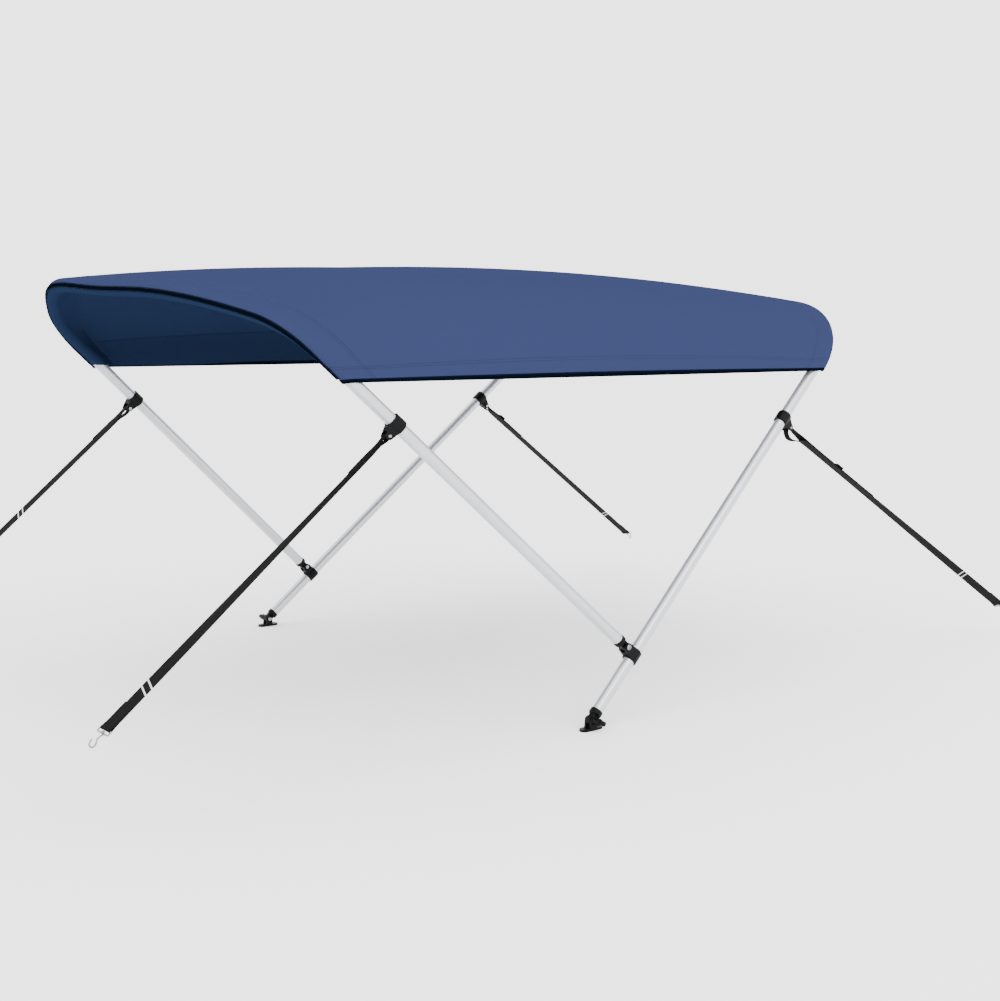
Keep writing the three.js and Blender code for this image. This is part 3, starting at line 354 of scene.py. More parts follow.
class ClothLines:
    """Both bows at shares of the cloth: their axes, the way between them and the way outward."""

    def __init__(self, share):
        self.share = np.asarray(share, float)
        ends = []
        for bow in (FRONT, MAIN):
            length = bow.at_share(self.share)
            axis = bow.at(length)
            hem, top = bow.at(bow.at_share(0))[2], bow.at(bow.at_share(0.5))[2]
            height = np.maximum(0, (axis[:, 2] - hem) / (top - hem))
            ends.append({"axis": axis, "heading": bow.heading_at(length), "height": height})
        run = ends[1]["axis"] - ends[0]["axis"]
        self.span = np.linalg.norm(run, axis=1)
        self.run = unit(run)
        for end in ends:
            outward = np.cross(self.run, end["heading"])
            end["slant"] = np.linalg.norm(outward, axis=1)
            end["outward"] = unit(outward)
        ends[0]["slack"] = np.zeros(len(self.share))
        ends[1]["slack"] = REAR_SLACK * (1 - ends[1]["height"])
        self.ends = ends

    def canopy(self, distance):
        """Points of the middle surface; distance holds a row for each share."""
        part = distance / self.span[:, None]
        front, rear = self.ends
        outward = unit(mix(front["outward"][:, None], rear["outward"][:, None], part[..., None]))
        height = mix(front["height"][:, None], rear["height"][:, None], part)
        point = front["axis"][:, None] + self.run[:, None] * distance[..., None] + outward * WRAP_RADIUS
        point[..., 2] += CROWN_RISE * 4 * part * (1 - part) * height
        return point

    def wrap(self, which, angle, radius):
        """Points round a bow's tube, from its top at angle 0 outwards, where slack cloth stands off."""
        end = self.ends[which]
        away = -1 if which == 0 else 1
        angle = np.broadcast_to(angle, (len(self.share), np.shape(angle)[-1]))
        radius = radius + end["slack"][:, None] * np.maximum(0, np.sin(angle))
        return (end["axis"][:, None]
                + end["outward"][:, None] * (radius * np.cos(angle))[..., None]
                + self.run[:, None] * (away * radius * np.sin(angle) / end["slant"][:, None])[..., None])


def shares_with_setback(setback):
    """Shares of the cloth from hem to hem, closer together near the hems, with both ends set in."""
    inset = setback / FRONT.cloth_length
    even = np.linspace(0, 1, ACROSS_STEPS + 1)
    crowded = even - CROWDING / (2 * math.pi) * np.sin(2 * math.pi * even)
    return inset + crowded * (1 - 2 * inset)


def grid_normals(grid):
    """Outward normals of a grid with rows from near to far and columns towards +X."""
    return unit(np.cross(np.gradient(grid, axis=1), np.gradient(grid, axis=0)))


def grid_lengths(grid):
    """Distances over the cloth from its middle line, across and along."""
    across = np.linalg.norm(np.diff(grid, axis=0), axis=2)
    along = np.linalg.norm(np.diff(grid, axis=1), axis=2)
    u = np.concatenate([np.zeros((1, grid.shape[1])), np.cumsum(across, axis=0)])
    v = np.concatenate([np.zeros((grid.shape[0], 1)), np.cumsum(along, axis=1)], axis=1)
    return u - u[grid.shape[0] // 2], v - v[:, [grid.shape[1] // 2]]


# Meshes

def finish_mesh(name, points, faces, uvs=None, face_slots=None):
    mesh = bpy.data.meshes.new(name)
    mesh.from_pydata(points, [], faces)
    if uvs is not None:
        layer = mesh.uv_layers.new(name="lengths")
        corner = np.zeros(len(mesh.loops), np.int32)
        mesh.loops.foreach_get("vertex_index", corner)
        layer.data.foreach_set("uv", np.asarray(uvs, np.float32)[corner].ravel())
    if face_slots is not None:
        mesh.polygons.foreach_set("material_index", face_slots)
    mesh.shade_smooth()
    mesh.set_sharp_from_angle(angle=SHARP_EDGE)
    mesh.update()
    return mesh


def sheet_mesh(name, grid, thickness, normals=None, uv=None):
    """A closed sheet round a grid of middle points. Its under side takes the second material slot."""
    rows, columns = grid.shape[:2]
    normals = grid_normals(grid) if normals is None else normals
    u, v = grid_lengths(grid) if uv is None else uv
    half = normals * np.reshape(thickness, (-1, 1, 1)) / 2
    points = np.concatenate([(grid + half).reshape(-1, 3), (grid - half).reshape(-1, 3)])
    flat_uv = np.stack([u.ravel(), v.ravel()], -1)
    at = np.arange(rows * columns).reshape(rows, columns)
    top = np.stack([at[:-1, :-1], at[:-1, 1:], at[1:, 1:], at[1:, :-1]], -1).reshape(-1, 4)
    under = top[:, ::-1] + rows * columns
    rim = np.concatenate([at[:, 0], at[-1, 1:], at[-2::-1, -1], at[0, -2:0:-1]])
    after = np.roll(rim, -1)
    sides = np.stack([rim, after, after + rows * columns, rim + rows * columns], -1)
    faces = np.concatenate([top, under, sides])
    slots = np.concatenate([np.zeros(len(top)), np.ones(len(under)), np.zeros(len(sides))])
    return finish_mesh(name, points, faces.tolist(), np.tile(flat_uv, (2, 1)), slots.astype(np.int32))


def lengths_along(points):
    """How far each point lies along the line of points."""
    return np.concatenate([[0], np.cumsum(np.linalg.norm(np.diff(points, axis=0), axis=1))])


def frames_along(points, closed):
    """Headings and turning-free side directions along a line of points."""
    ahead = np.roll(points, -1, axis=0) - points
    behind = points - np.roll(points, 1, axis=0)
    if not closed:
        ahead[-1] = behind[-1]
        behind[0] = ahead[0]
    heading = unit(unit(ahead) + unit(behind))
    side = [unit(np.cross(heading[0], ASIDE))]
    for here in heading[1:]:
        carried = side[-1] - here * side[-1].dot(here)
        side.append(unit(carried))
    side = np.array(side)
    return heading, side, np.cross(heading, side)


def tube_mesh(name, points, radius, sides, closed=False, normal=None):
    points = np.asarray(points, float)
    heading, first, second = frames_along(points, closed)
    if normal is not None:
        second = np.broadcast_to(normal, heading.shape)
        first = unit(np.cross(second, heading))
    turn = np.linspace(0, 2 * math.pi, sides, endpoint=False)
    ring = first[:, None] * np.cos(turn)[:, None] + second[:, None] * np.sin(turn)[:, None]
    vertices = (points[:, None] + radius * ring).reshape(-1, 3)
    count = len(points)
    at = np.arange(count * sides).reshape(count, sides)
    ahead = np.roll(at, -1, axis=0)
    faces = np.stack([at, np.roll(at, -1, axis=1), np.roll(ahead, -1, axis=1), ahead], -1)
    faces = (faces if closed else faces[:-1]).reshape(-1, 4).tolist()
    if not closed:
        faces += [at[0, ::-1].tolist(), at[-1].tolist()]
    uv = np.stack(np.meshgrid(turn * radius, lengths_along(points)), -1).reshape(-1, 2)
    return finish_mesh(name, vertices, faces, uv)


def curve_through(points, per_span):
    """A centripetal Catmull-Rom line through the points."""
    points = np.asarray(points, float)
    padded = np.concatenate([[2 * points[0] - points[1]], points, [2 * points[-1] - points[-2]]])
    made = []
    for k in range(len(points) - 1):
        before, here, there, after = padded[k:k + 4]
        first, middle, last = (
            math.sqrt(np.linalg.norm(b - a)) for a, b in ((before, here), (here, there), (there, after)))
        leave = (here - before) / first - (there - before) / (first + middle) + (there - here) / middle
        arrive = (there - here) / middle - (after - here) / (middle + last) + (after - there) / last
        leave, arrive = leave * middle, arrive * middle
        for step in range(per_span):
            t = step / per_span
            made.append(here + leave * t + (3 * (there - here) - 2 * leave - arrive) * t ** 2
                        + (2 * (here - there) + leave + arrive) * t ** 3)
    return np.array(made + [points[-1]])


def add_piece(mesh, materials, nodes=()):
    """A piece with its mesh's name, which takes the place of the nodes."""
    piece = bpy.data.objects.new(mesh.name, mesh)
    for material in materials:
        mesh.materials.append(material)
    scene.collection.objects.link(piece)
    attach(piece, "top")
    if nodes:
        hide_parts(*nodes)
    return piece


def thread_faces():
    """Faces of one thread: rings of points along it, closed at both ends."""
    sides, rings = THREAD_SIDES, len(THREAD_PROFILE)
    faces = []
    for k in range(rings - 1):
        low, high = k * sides, (k + 1) * sides
        faces += [[low + i, low + (i + 1) % sides, high + (i + 1) % sides, high + i] for i in range(sides)]
    return faces + [list(range(sides))[::-1], list(range((rings - 1) * sides, rings * sides))]


def between_points(place, travelled, points):
    """The point at a place along a line whose points lie at the travelled lengths."""
    return np.array([np.interp(place, travelled, points[:, k]) for k in range(3)])


def stitches(name, lines, length, pitch, radius):
    """Short threads in a row along each line with its normals, half sunk in the cloth."""
    turn = np.linspace(0, 2 * math.pi, THREAD_SIDES, endpoint=False)
    shape = np.array([[x, r * math.cos(a), r * math.sin(a)] for x, r in THREAD_PROFILE for a in turn])
    one = thread_faces()
    points, faces = [], []
    for line, normals in lines:
        travelled = lengths_along(line)
        for place in np.arange(pitch / 2, travelled[-1], pitch):
            here = between_points(place, travelled, line)
            ahead = between_points(place + pitch / 3, travelled, line)
            normal = unit(between_points(place, travelled, normals))
            way = unit(ahead - here + TINY)
            side = unit(np.cross(normal, way))
            base = len(points)
            for x, y, z in shape:
                points.append(here + way * x * length / 2 + side * y * radius
                              + normal * z * radius * THREAD_FLATNESS)
            faces += [[base + k for k in face] for face in one]
    return add_piece(finish_mesh(name, points, faces), [THREAD])


# Materials

class Nodes:
    """Short calls for the nodes of one tree."""

    def __init__(self, tree):
        self.tree = tree

    def node(self, kind, inputs=None, output=0, **settings):
        made = self.tree.nodes.new("ShaderNode" + kind)
        for key, value in settings.items():
            setattr(made, key, value)
        for key, value in (inputs or {}).items():
            self.put(value, made.inputs[key])
        return made.outputs[output]

    def put(self, value, socket):
        if isinstance(value, bpy.types.NodeSocket):
            self.tree.links.new(value, socket)
        else:
            socket.default_value = value

    def math(self, operation, *values):
        return self.node("Math", dict(enumerate(values)), operation=operation)

    def scaled(self, value, by, plus):
        return self.math("MULTIPLY_ADD", value, by, plus)

    def first_two(self, vector):
        """The X and Y of a vector."""
        made = self.tree.nodes.new("ShaderNodeSeparateXYZ")
        self.put(vector, made.inputs[0])
        return made.outputs[0], made.outputs[1]


class Surface(Nodes):
    """A material on the standard shader."""

    def __init__(self, name):
        self.material = bpy.data.materials.new(name)
        self.material.use_nodes = True
        super().__init__(self.material.node_tree)
        self.shader = self.tree.nodes["Principled BSDF"]

    def noise(self, scale, detail, vector=None):
        place = vector or self.node("TexCoord", output="Object")
        return self.node("TexNoise", {"Scale": scale, "Detail": detail, "Vector": place})

    def lengths(self):
        """Lengths over the piece, across and along."""
        return self.first_two(self.node("UVMap", uv_map="lengths"))

    def between(self, share, low, high):
        """A colour mix by share, over the mix node's sockets for colours."""
        made = self.tree.nodes.new("ShaderNodeMix")
        made.data_type = "RGBA"
        self.put(share, made.inputs[0])
        for socket, colour in ((6, low), (7, high)):
            self.put((*colour, 1) if isinstance(colour, tuple) else colour, made.inputs[socket])
        return made.outputs[2]

    def bump(self, height, distance, strength, normal=None):
        inputs = {"Height": height, "Distance": distance, "Strength": strength}
        if normal is not None:
            inputs["Normal"] = normal
        return self.node("Bump", inputs)

    def finished(self, **values):
        """The material, with these values and nodes on its shader's sockets."""
        for key, value in values.items():
            self.put(value, self.shader.inputs[key.replace("_", " ")])
        return self.material


def line_at(surface, value, centre, half_width):
    """1 within half_width of centre, and 0 elsewhere."""
    away = surface.math("ABSOLUTE", surface.math("SUBTRACT", value, centre))
    return surface.math("LESS_THAN", away, half_width)


def woven(surface, across_pitch, along_pitch):
    """Height of a weave, from 0 to 1, from the piece's own lengths."""
    u, v = surface.lengths()
    first = surface.math("SINE", surface.math("MULTIPLY", u, math.pi / across_pitch))
    second = surface.math("SINE", surface.math("MULTIPLY", v, math.pi / along_pitch))
    return surface.scaled(surface.math("MULTIPLY", first, second), by=0.5, plus=0.5)


def cloth_material(name, tones, roughness, pitch=CLOTH_PITCH):
    """Woven cloth without a shine: clouds and flecks of two tones, threads with painted shade and highlight,
    and soft creases.
    """
    surface = Surface(name)
    weave = woven(surface, pitch, pitch)
    cloud = surface.noise(scale=2.2, detail=4.0)
    fleck = surface.noise(scale=420.0, detail=2.0)
    tint = surface.math("ADD", surface.math("MULTIPLY", cloud, 0.6), surface.math("MULTIPLY", fleck, 0.4))
    # Painted shade and highlight: the colour is darker in the weave's hollows and lighter on its threads.
    shade = surface.scaled(weave, by=0.12, plus=0.94)
    shaded = {"Vector": surface.between(tint, *tones), "Scale": shade}
    colour = surface.node("VectorMath", shaded, operation="SCALE")
    creases = surface.bump(surface.noise(scale=9.0, detail=3.0), distance=4 * MM, strength=0.25)
    return surface.finished(
        Base_Color=colour, Roughness=roughness, Specular_IOR_Level=0.0,
        Normal=surface.bump(weave, distance=0.08 * MM, strength=0.5, normal=creases))


def webbing_material(name, marks):
    """Black ribbed webbing with darker edges and pale slanted marks at places along it."""
    surface = Surface(name)
    u, v = surface.lengths()
    height = woven(surface, CORD_PITCH / 2, RIB_PITCH / 2)
    fibre = surface.noise(scale=900.0, detail=3.0)
    edge = surface.math("GREATER_THAN", surface.math("ABSOLUTE", u), WEB_EDGE_AT)
    colour = surface.between(edge, surface.between(fibre, *WEBBING_TONES), WEBBING_EDGE)
    slanted = surface.scaled(u, by=MARK_SLANT, plus=v)
    for mark in marks:
        on_mark = line_at(surface, slanted, mark * MM, MARK_WIDTH / 2)
        colour = surface.between(on_mark, colour, MARK_COLOUR)
    return surface.finished(
        Base_Color=colour, Roughness=0.72, Specular_IOR_Level=0.05,
        Normal=surface.bump(height, distance=0.25 * MM, strength=0.7))


def tube_material(name):
    """Anodised tube: pale, drawn lengthwise, with faint handling streaks."""
    surface = Surface(name)
    u, v = surface.lengths()
    drawn = {"X": surface.math("MULTIPLY", u, 900), "Y": surface.math("MULTIPLY", v, 6)}
    streak = surface.noise(scale=1.0, detail=4.0, vector=surface.node("CombineXYZ", drawn))
    smear = surface.noise(scale=14.0, detail=3.0)
    roughness = surface.scaled(streak, by=0.10, plus=0.24)
    return surface.finished(
        Base_Color=surface.between(smear, *TUBE_TONES), Metallic=0.6, Roughness=roughness,
        Normal=surface.bump(streak, distance=0.02 * MM, strength=0.4))


def steel_material(name):
    """Polished steel with fine wear and rounded edges."""
    surface = Surface(name)
    wear = surface.noise(scale=160.0, detail=4.0)
    rounded = surface.node("Bevel", {"Radius": 0.4 * MM}, samples=6)
    roughness = surface.scaled(wear, by=0.2, plus=0.14)
    return surface.finished(
        Base_Color=surface.between(wear, *STEEL_TONES), Metallic=1.0, Roughness=roughness,
        Normal=surface.bump(wear, distance=0.05 * MM, strength=0.4, normal=rounded))


def moulding_material(name):
    """Black moulded plastic with a fine grain, a little paler at its worn edges."""
    surface = Surface(name)
    grain = surface.noise(scale=1400.0, detail=3.0)
    cloud = surface.noise(scale=55.0, detail=3.0)
    rounded = surface.node("Bevel", {"Radius": 0.9 * MM}, samples=8)
    sharp = surface.node("NewGeometry", output="Normal")
    bend = surface.node("VectorMath", {0: rounded, 1: sharp}, output="Value", operation="DOT_PRODUCT")
    worn = surface.math("MULTIPLY", surface.math("SUBTRACT", 1.0, bend), 2.2)
    colour = surface.between(worn, surface.between(cloud, *MOULDING_TONES), MOULDING_WORN)
    roughness = surface.scaled(cloud, by=0.14, plus=0.38)
    return surface.finished(
        Base_Color=colour, Roughness=roughness, Specular_IOR_Level=0.08,
        Normal=surface.bump(grain, distance=0.06 * MM, strength=0.35, normal=rounded))


def thread_material(name):
    surface = Surface(name)
    twist = surface.noise(scale=2600.0, detail=2.0)
    return surface.finished(
        Base_Color=surface.between(twist, *THREAD_TONES), Roughness=0.6, Specular_IOR_Level=0.15,
        Normal=surface.bump(twist, distance=0.1 * MM, strength=0.5))


CANVAS = cloth_material("canvas_outside", CANVAS_TONES, 0.9)
COATING_AND_PAINTED_SHADE = cloth_material("canvas_inside_coating_and_painted_shade", COATING_AND_PAINTED_SHADE_TONES, 0.85)
FACING_PAINTED_SHADE = cloth_material("facing", FACING_PAINTED_SHADE_TONES, 0.85)
TAPE = cloth_material("edge_tape", TAPE_TONES, 0.85, TAPE_PITCH)
THREAD = thread_material("thread")
TUBE = tube_material("anodised_tube")
STEEL = steel_material("polished_steel")
MOULDING = moulding_material("black_moulding")


# Cloth pieces

def groove(distance):
    """How far a row of stitches draws the cloth in, by distance from the row."""
    return GROOVE_DEPTH * np.exp(-((distance / GROOVE_WIDTH) ** 2))


def pucker(distance, along, start):
    """Small ripples beside a seam, which die away within a few centimetres."""
    wave = 0
    for order, (length, share) in enumerate(RIPPLES, 1):
        wave = wave + np.sin(along * 2 * math.pi / length + order * start) * share
    return RIPPLE_HEIGHT * wave * np.exp(-((distance / RIPPLE_REACH) ** 2))


def canopy_grid():
    """The cloth's lines, its middle points, and their distances from the top of the front bow's tube."""
    lines = ClothLines(shares_with_setback(0))
    span = lines.span[:, None]
    rows = len(span)
    front_wrap = np.linspace(math.pi / 2, 0, WRAP_STEPS + 1)[:-1]
    rear_wrap = front_wrap[::-1]
    band = np.linspace(0, SEAM_BAND, SEAM_BAND_STEPS + 1)
    bays = np.linspace(0, 1, ALONG_STEPS + 1)
    distance = np.concatenate([
        np.broadcast_to(band[:-1], (rows, SEAM_BAND_STEPS)),
        SEAM_BAND + bays * (span - 2 * SEAM_BAND),
        span - band[::-1][1:]], axis=1)
    grid = np.concatenate([
        lines.wrap(0, front_wrap, WRAP_RADIUS),
        lines.canopy(distance),
        lines.wrap(1, rear_wrap, WRAP_RADIUS)], axis=1)
    whole_distance = np.concatenate([
        np.broadcast_to(-front_wrap * WRAP_RADIUS, (rows, WRAP_STEPS)),
        distance,
        span + rear_wrap * WRAP_RADIUS], axis=1)
    return lines, grid, whole_distance


def add_canopy():
    lines, grid, distance = canopy_grid()
    normals = grid_normals(grid)
    u, v = grid_lengths(grid)
    span = lines.span[:, None]
    hem_near = u - u[0]
    hem_far = u[-1] - u
    seams = (
        (distance - BOW_SEAM, u), (span - distance - BOW_SEAM, u),
        (hem_near - HEM_SEAM, v), (hem_far - HEM_SEAM, v),
    )
    dip = np.zeros(grid.shape[:2])
    for (away, along), start in zip(seams, RIPPLE_STARTS):
        dip += pucker(away, along, start) - groove(away)
    grid = grid + normals * dip[..., None]
    mesh = sheet_mesh("canopy_cloth", grid, CANOPY_THICKNESS, normals, (u, v))
    # The under side takes the darker inside tones: partly coating, mostly painted shade.
    canopy = add_piece(mesh, [CANVAS, COATING_AND_PAINTED_SHADE], ["canopy"])
    outer = grid + normals * CANOPY_THICKNESS / 2
    rows = []
    for setback in BOW_SEAM_ROWS:
        rows.append(line_over(outer, normals, distance, setback, axis=1))
        rows.append(line_over(outer, normals, distance, lines.span - setback, axis=1))
    for setback in HEM_SEAM_ROWS:
        rows.append(line_over(outer, normals, hem_near, setback, axis=0))
        rows.append(line_over(outer, normals, -hem_far, -setback, axis=0))
    stitches("canopy_stitches", rows, **SEAM_THREAD)
    return canopy, grid, normals, u


def line_over(points, normals, measure, wanted, axis):
    """The line over a grid where a measure that grows along one axis has the wanted values."""
    if axis == 0:
        points, normals, measure = points.swapaxes(0, 1), normals.swapaxes(0, 1), measure.T
    line, upright = [], []
    for k, value in enumerate(np.broadcast_to(wanted, len(measure))):
        place = np.interp(value, measure[k], np.arange(measure.shape[1]))
        low = min(int(place), measure.shape[1] - 2)
        line.append(mix(points[k, low], points[k, low + 1], place - low))
        upright.append(mix(normals[k, low], normals[k, low + 1], place - low))
    return np.array(line), np.array(upright)


def add_facing(name, grid, normals, u, near):
    """The turned-in facing along a side hem, sewn to the canopy's inside."""
    order = 1 if near else -1
    measure = np.abs(u - u[::order][0])[::order]
    rows = []
    for depth in np.linspace(FACING_START, FACING_SEAM, FACING_POINTS):
        line, line_normals = line_over(grid[::order], normals[::order], measure, depth, axis=0)
        rows.append(line - line_normals * (CANOPY_THICKNESS / 2 + FACING_OFFSET))
    strip = np.array(rows)[::order, FACING_INSET:-FACING_INSET]
    mesh = sheet_mesh(name, strip, FACING_THICKNESS)
    # Its faces take the darker inside tones and the still darker facing tones, both painted shade.
    return add_piece(mesh, [COATING_AND_PAINTED_SHADE, FACING_PAINTED_SHADE]), strip


def add_sleeve(name, which, node):
    """A sleeve round a bow's tube, from the seam under the canopy to the canopy's edge."""
    lines = ClothLines(shares_with_setback(SLEEVE_SETBACK))
    end = lines.ends[which]
    away = -1 if which == 0 else 1
    rows = []
    for setback in (CUT_EDGE_SETBACK, (CUT_EDGE_SETBACK + SEAM_SETBACK) / 2, SEAM_SETBACK):
        points = []
        for shift in (-NORMAL_STEP, 0, NORMAL_STEP):
            shifted = ClothLines(np.clip(lines.share + shift, 0, 1))
            distance = np.full((len(shifted.span), 1), setback)
            if which == 1:
                distance = shifted.span[:, None] - distance
            points.append(shifted.canopy(np.concatenate([distance - MM, distance, distance + MM], axis=1)))
        inward = unit(np.cross(points[2][:, 1] - points[0][:, 1], points[1][:, 2] - points[1][:, 0]))
        rows.append(points[1][:, 1] + inward * SEWN_OFFSET)
    sewn = np.stack(rows, axis=1)
    from_axis = sewn[:, -1] - end["axis"]
    level = (from_axis * end["outward"]).sum(1)
    inner = -away * (from_axis * lines.run).sum(1) * end["slant"]
    first = np.arctan2(-inner, level) - np.arccos(SLEEVE_RADIUS / np.hypot(inner, level))
    last = math.pi / 2 + 2 * GAP / SLEEVE_RADIUS - 2 * math.pi
    turn = first[:, None] + (last - first[:, None]) * np.linspace(0, 1, SLEEVE_POINTS)
    grid = np.concatenate([sewn, lines.wrap(which, turn, SLEEVE_RADIUS)], axis=1)
    mesh = sheet_mesh(name, grid, SLEEVE_THICKNESS)
    # Both faces of the sleeve take the darker inside tones: partly coating, mostly painted shade.
    return add_piece(mesh, [COATING_AND_PAINTED_SHADE, COATING_AND_PAINTED_SHADE], [node]), grid


def add_end_tape(name, which, node):
    """A tape over the canopy's edge at a bow, with a row of stitches along each side."""
    lines = ClothLines(shares_with_setback(TAPE_SETBACK))
    half = TAPE_WIDTH / 2 / TAPE_RADIUS
    turn = math.pi / 2 + np.linspace(half, -half, TAPE_POINTS) * (1 if which == 0 else -1)
    swell = TAPE_SWELL * np.cos(np.linspace(-math.pi / 2, math.pi / 2, TAPE_POINTS))
    grid = lines.wrap(which, turn, TAPE_RADIUS + swell)
    piece = add_piece(sheet_mesh(name, grid, TAPE_THICKNESS), [TAPE, TAPE], [node])
    normals = grid_normals(grid)
    surface = grid + normals * TAPE_THICKNESS / 2
    rows = [(surface[:, column], normals[:, column]) for column in (1, -2)]
    stitches(name + "_stitches", rows, **TAPE_THREAD)
    return piece, grid


def add_hem_tape(name, grid, near, node):
    """A tape folded over a side hem, with a row of stitches on each face."""
    edge, inner = (grid[0], grid[1]) if near else (grid[-1], grid[-2])
    down = unit(edge - inner)
    along = unit(np.gradient(edge, axis=0))
    outward = np.cross(along, down)
    offset = (CANOPY_THICKNESS + TAPE_THICKNESS) / 2 + GAP
    turn = np.linspace(0, math.pi, TAPE_POINTS)
    profile = [(-HEM_DEPTH, offset), (-HEM_DEPTH * 0.5, offset + HEM_TAPE_SWELL)]
    profile += [(offset * HEM_FOLD_ROUNDNESS * math.sin(a), offset * math.cos(a)) for a in turn]
    profile += [(-HEM_DEPTH * 0.5, -offset - HEM_TAPE_SWELL), (-HEM_DEPTH, -offset)]
    strip = np.stack([edge + down * depth + outward * side for depth, side in profile], axis=1)
    piece = add_piece(sheet_mesh(name, strip, TAPE_THICKNESS), [TAPE, TAPE], [node])
    lift = offset + TAPE_THICKNESS / 2
    rows = [(edge - down * HEM_TAPE_ROW + outward * lift * sign, outward * sign) for sign in (1, -1)]
    stitches(name + "_stitches", rows, **TAPE_THREAD)
    return piece, strip


def sheet_size(grid):
    """Flat size of a strip of cloth: its width and length over the surface."""
    across = np.linalg.norm(np.diff(grid, axis=0), axis=2).sum(0)
    along = np.linalg.norm(np.diff(grid, axis=1), axis=2).sum(1)
    return float(across.max()), float(along.max())


def sheet_area(grid):
    first = grid[1:, :-1] - grid[:-1, :-1]
    second = grid[:-1, 1:] - grid[:-1, :-1]
    return float(np.linalg.norm(np.cross(first, second), axis=2).sum())


def declare(piece, grid, rests_on, held="stretched"):
    width, length = (round(side, 4) for side in sheet_size(grid))
    area = min(sheet_area(grid), width * length)
    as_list(rests_on)


canopy, cloth_grid, cloth_normals, cloth_u = add_canopy()
declare(canopy, cloth_grid, ["main_bow_tube", "front_bow_tube"])
for which, (end, bow_name) in enumerate((("front", "front_bow_tube"), ("rear", "main_bow_tube"))):
    declare(*add_sleeve(end + "_sleeve_cloth", which, end + "_sleeve"), [bow_name])
    declare(*add_end_tape(end + "_edge_tape", which, end + "_binding"), ["canopy_cloth"])
for side in ("near", "far"):
    near = side == "near"
    declare(*add_facing(side + "_hem_facing", cloth_grid, cloth_normals, cloth_u, near), ["canopy_cloth"])
    hem_tape = add_hem_tape(side + "_hem_tape", cloth_grid, near, side + "_hem_binding")
    declare(*hem_tape, ["canopy_cloth"], "folded")


# Tubes

for name, bow in (("main_bow", MAIN), ("front_bow", FRONT)):
    far_leg = 2 * bow.half - bow.leg_length
    lengths = np.concatenate([
        np.linspace(0, bow.leg_length, TUBE_LEG_POINTS)[:-1],
        np.linspace(bow.leg_length, far_leg, TUBE_BEND_POINTS),
        np.linspace(far_leg, 2 * bow.half, TUBE_LEG_POINTS)[1:]])
    mesh = tube_mesh(name + "_tube", bow.at(lengths), TUBE_RADIUS, TUBE_SIDES)
    add_piece(mesh, [TUBE], [name])


# Straps

class StrapLay:
    """How a strap lies: its bolt, its way to the ring, and its width and face directions on the way."""

    def __init__(self, strap):
        self.strap = strap
        bow = FRONT if strap["bow"] == "front" else MAIN
        origin, side_way, across = bow.leg_frame(strap["side"], bow.clamp_at)
        self.bolt = origin + side_way * CLAMP_BOLT_OFFSET
        way = np.array(strap["end"]) * MM - self.bolt
        self.length = float(np.linalg.norm(way))
        self.way = way / self.length
        flip = -1 if np.cross(self.way, across)[2] < 0 else 1
        self.bolt_axis = across * flip
        self.square = unit(self.bolt_axis - self.way * self.bolt_axis.dot(self.way))

    def width(self, distance):
        near_turn, end_turn = self.strap["turn"]
        slider = self.strap["slider"] * MM
        steady = min(slider - SLIDER_LENGTH, STEADY_AT) if slider else STEADY_AT
        resume = slider + SLIDER_LENGTH if slider else STEADY_AT
        early = near_turn * ease(distance, LEAVE_EARS, steady)
        late = (end_turn - near_turn) * ease(distance, resume, self.length - STEADY_BEFORE_RING)
        turn = math.radians(float(early + late))
        settled = float(ease(distance, LEAVE_EARS, LEAVE_EARS + SETTLE_OVER))
        start = unit(mix(self.bolt_axis, self.square, settled))
        return np.array(Matrix.Rotation(turn, 3, Vector(self.way)) @ Vector(start))

    def face(self, distance):
        return unit(np.cross(self.way, self.width(distance)))

    def point(self, distance, lift):
        return self.bolt + self.way * distance + self.face(distance) * lift

    def gather(self, distance):
        """How many times narrower and thicker the webbing is, folded lengthwise round the bolt."""
        slider = self.strap["slider"] * MM
        spread_at = min(WEB_SPREAD_AT, slider - SLIDER_LENGTH) if slider else WEB_SPREAD_AT
        return WEB_WIDTH / mix(WEB_LOOP_WIDTH, WEB_WIDTH, ease(distance, LEAVE_EARS, spread_at))

    def strand(self, distance):
        """Half the way between the middles of two strands that lie on each other."""
        return float(WEB_SOLID_THICKNESS * self.gather(distance) + BETWEEN_STRANDS) / 2


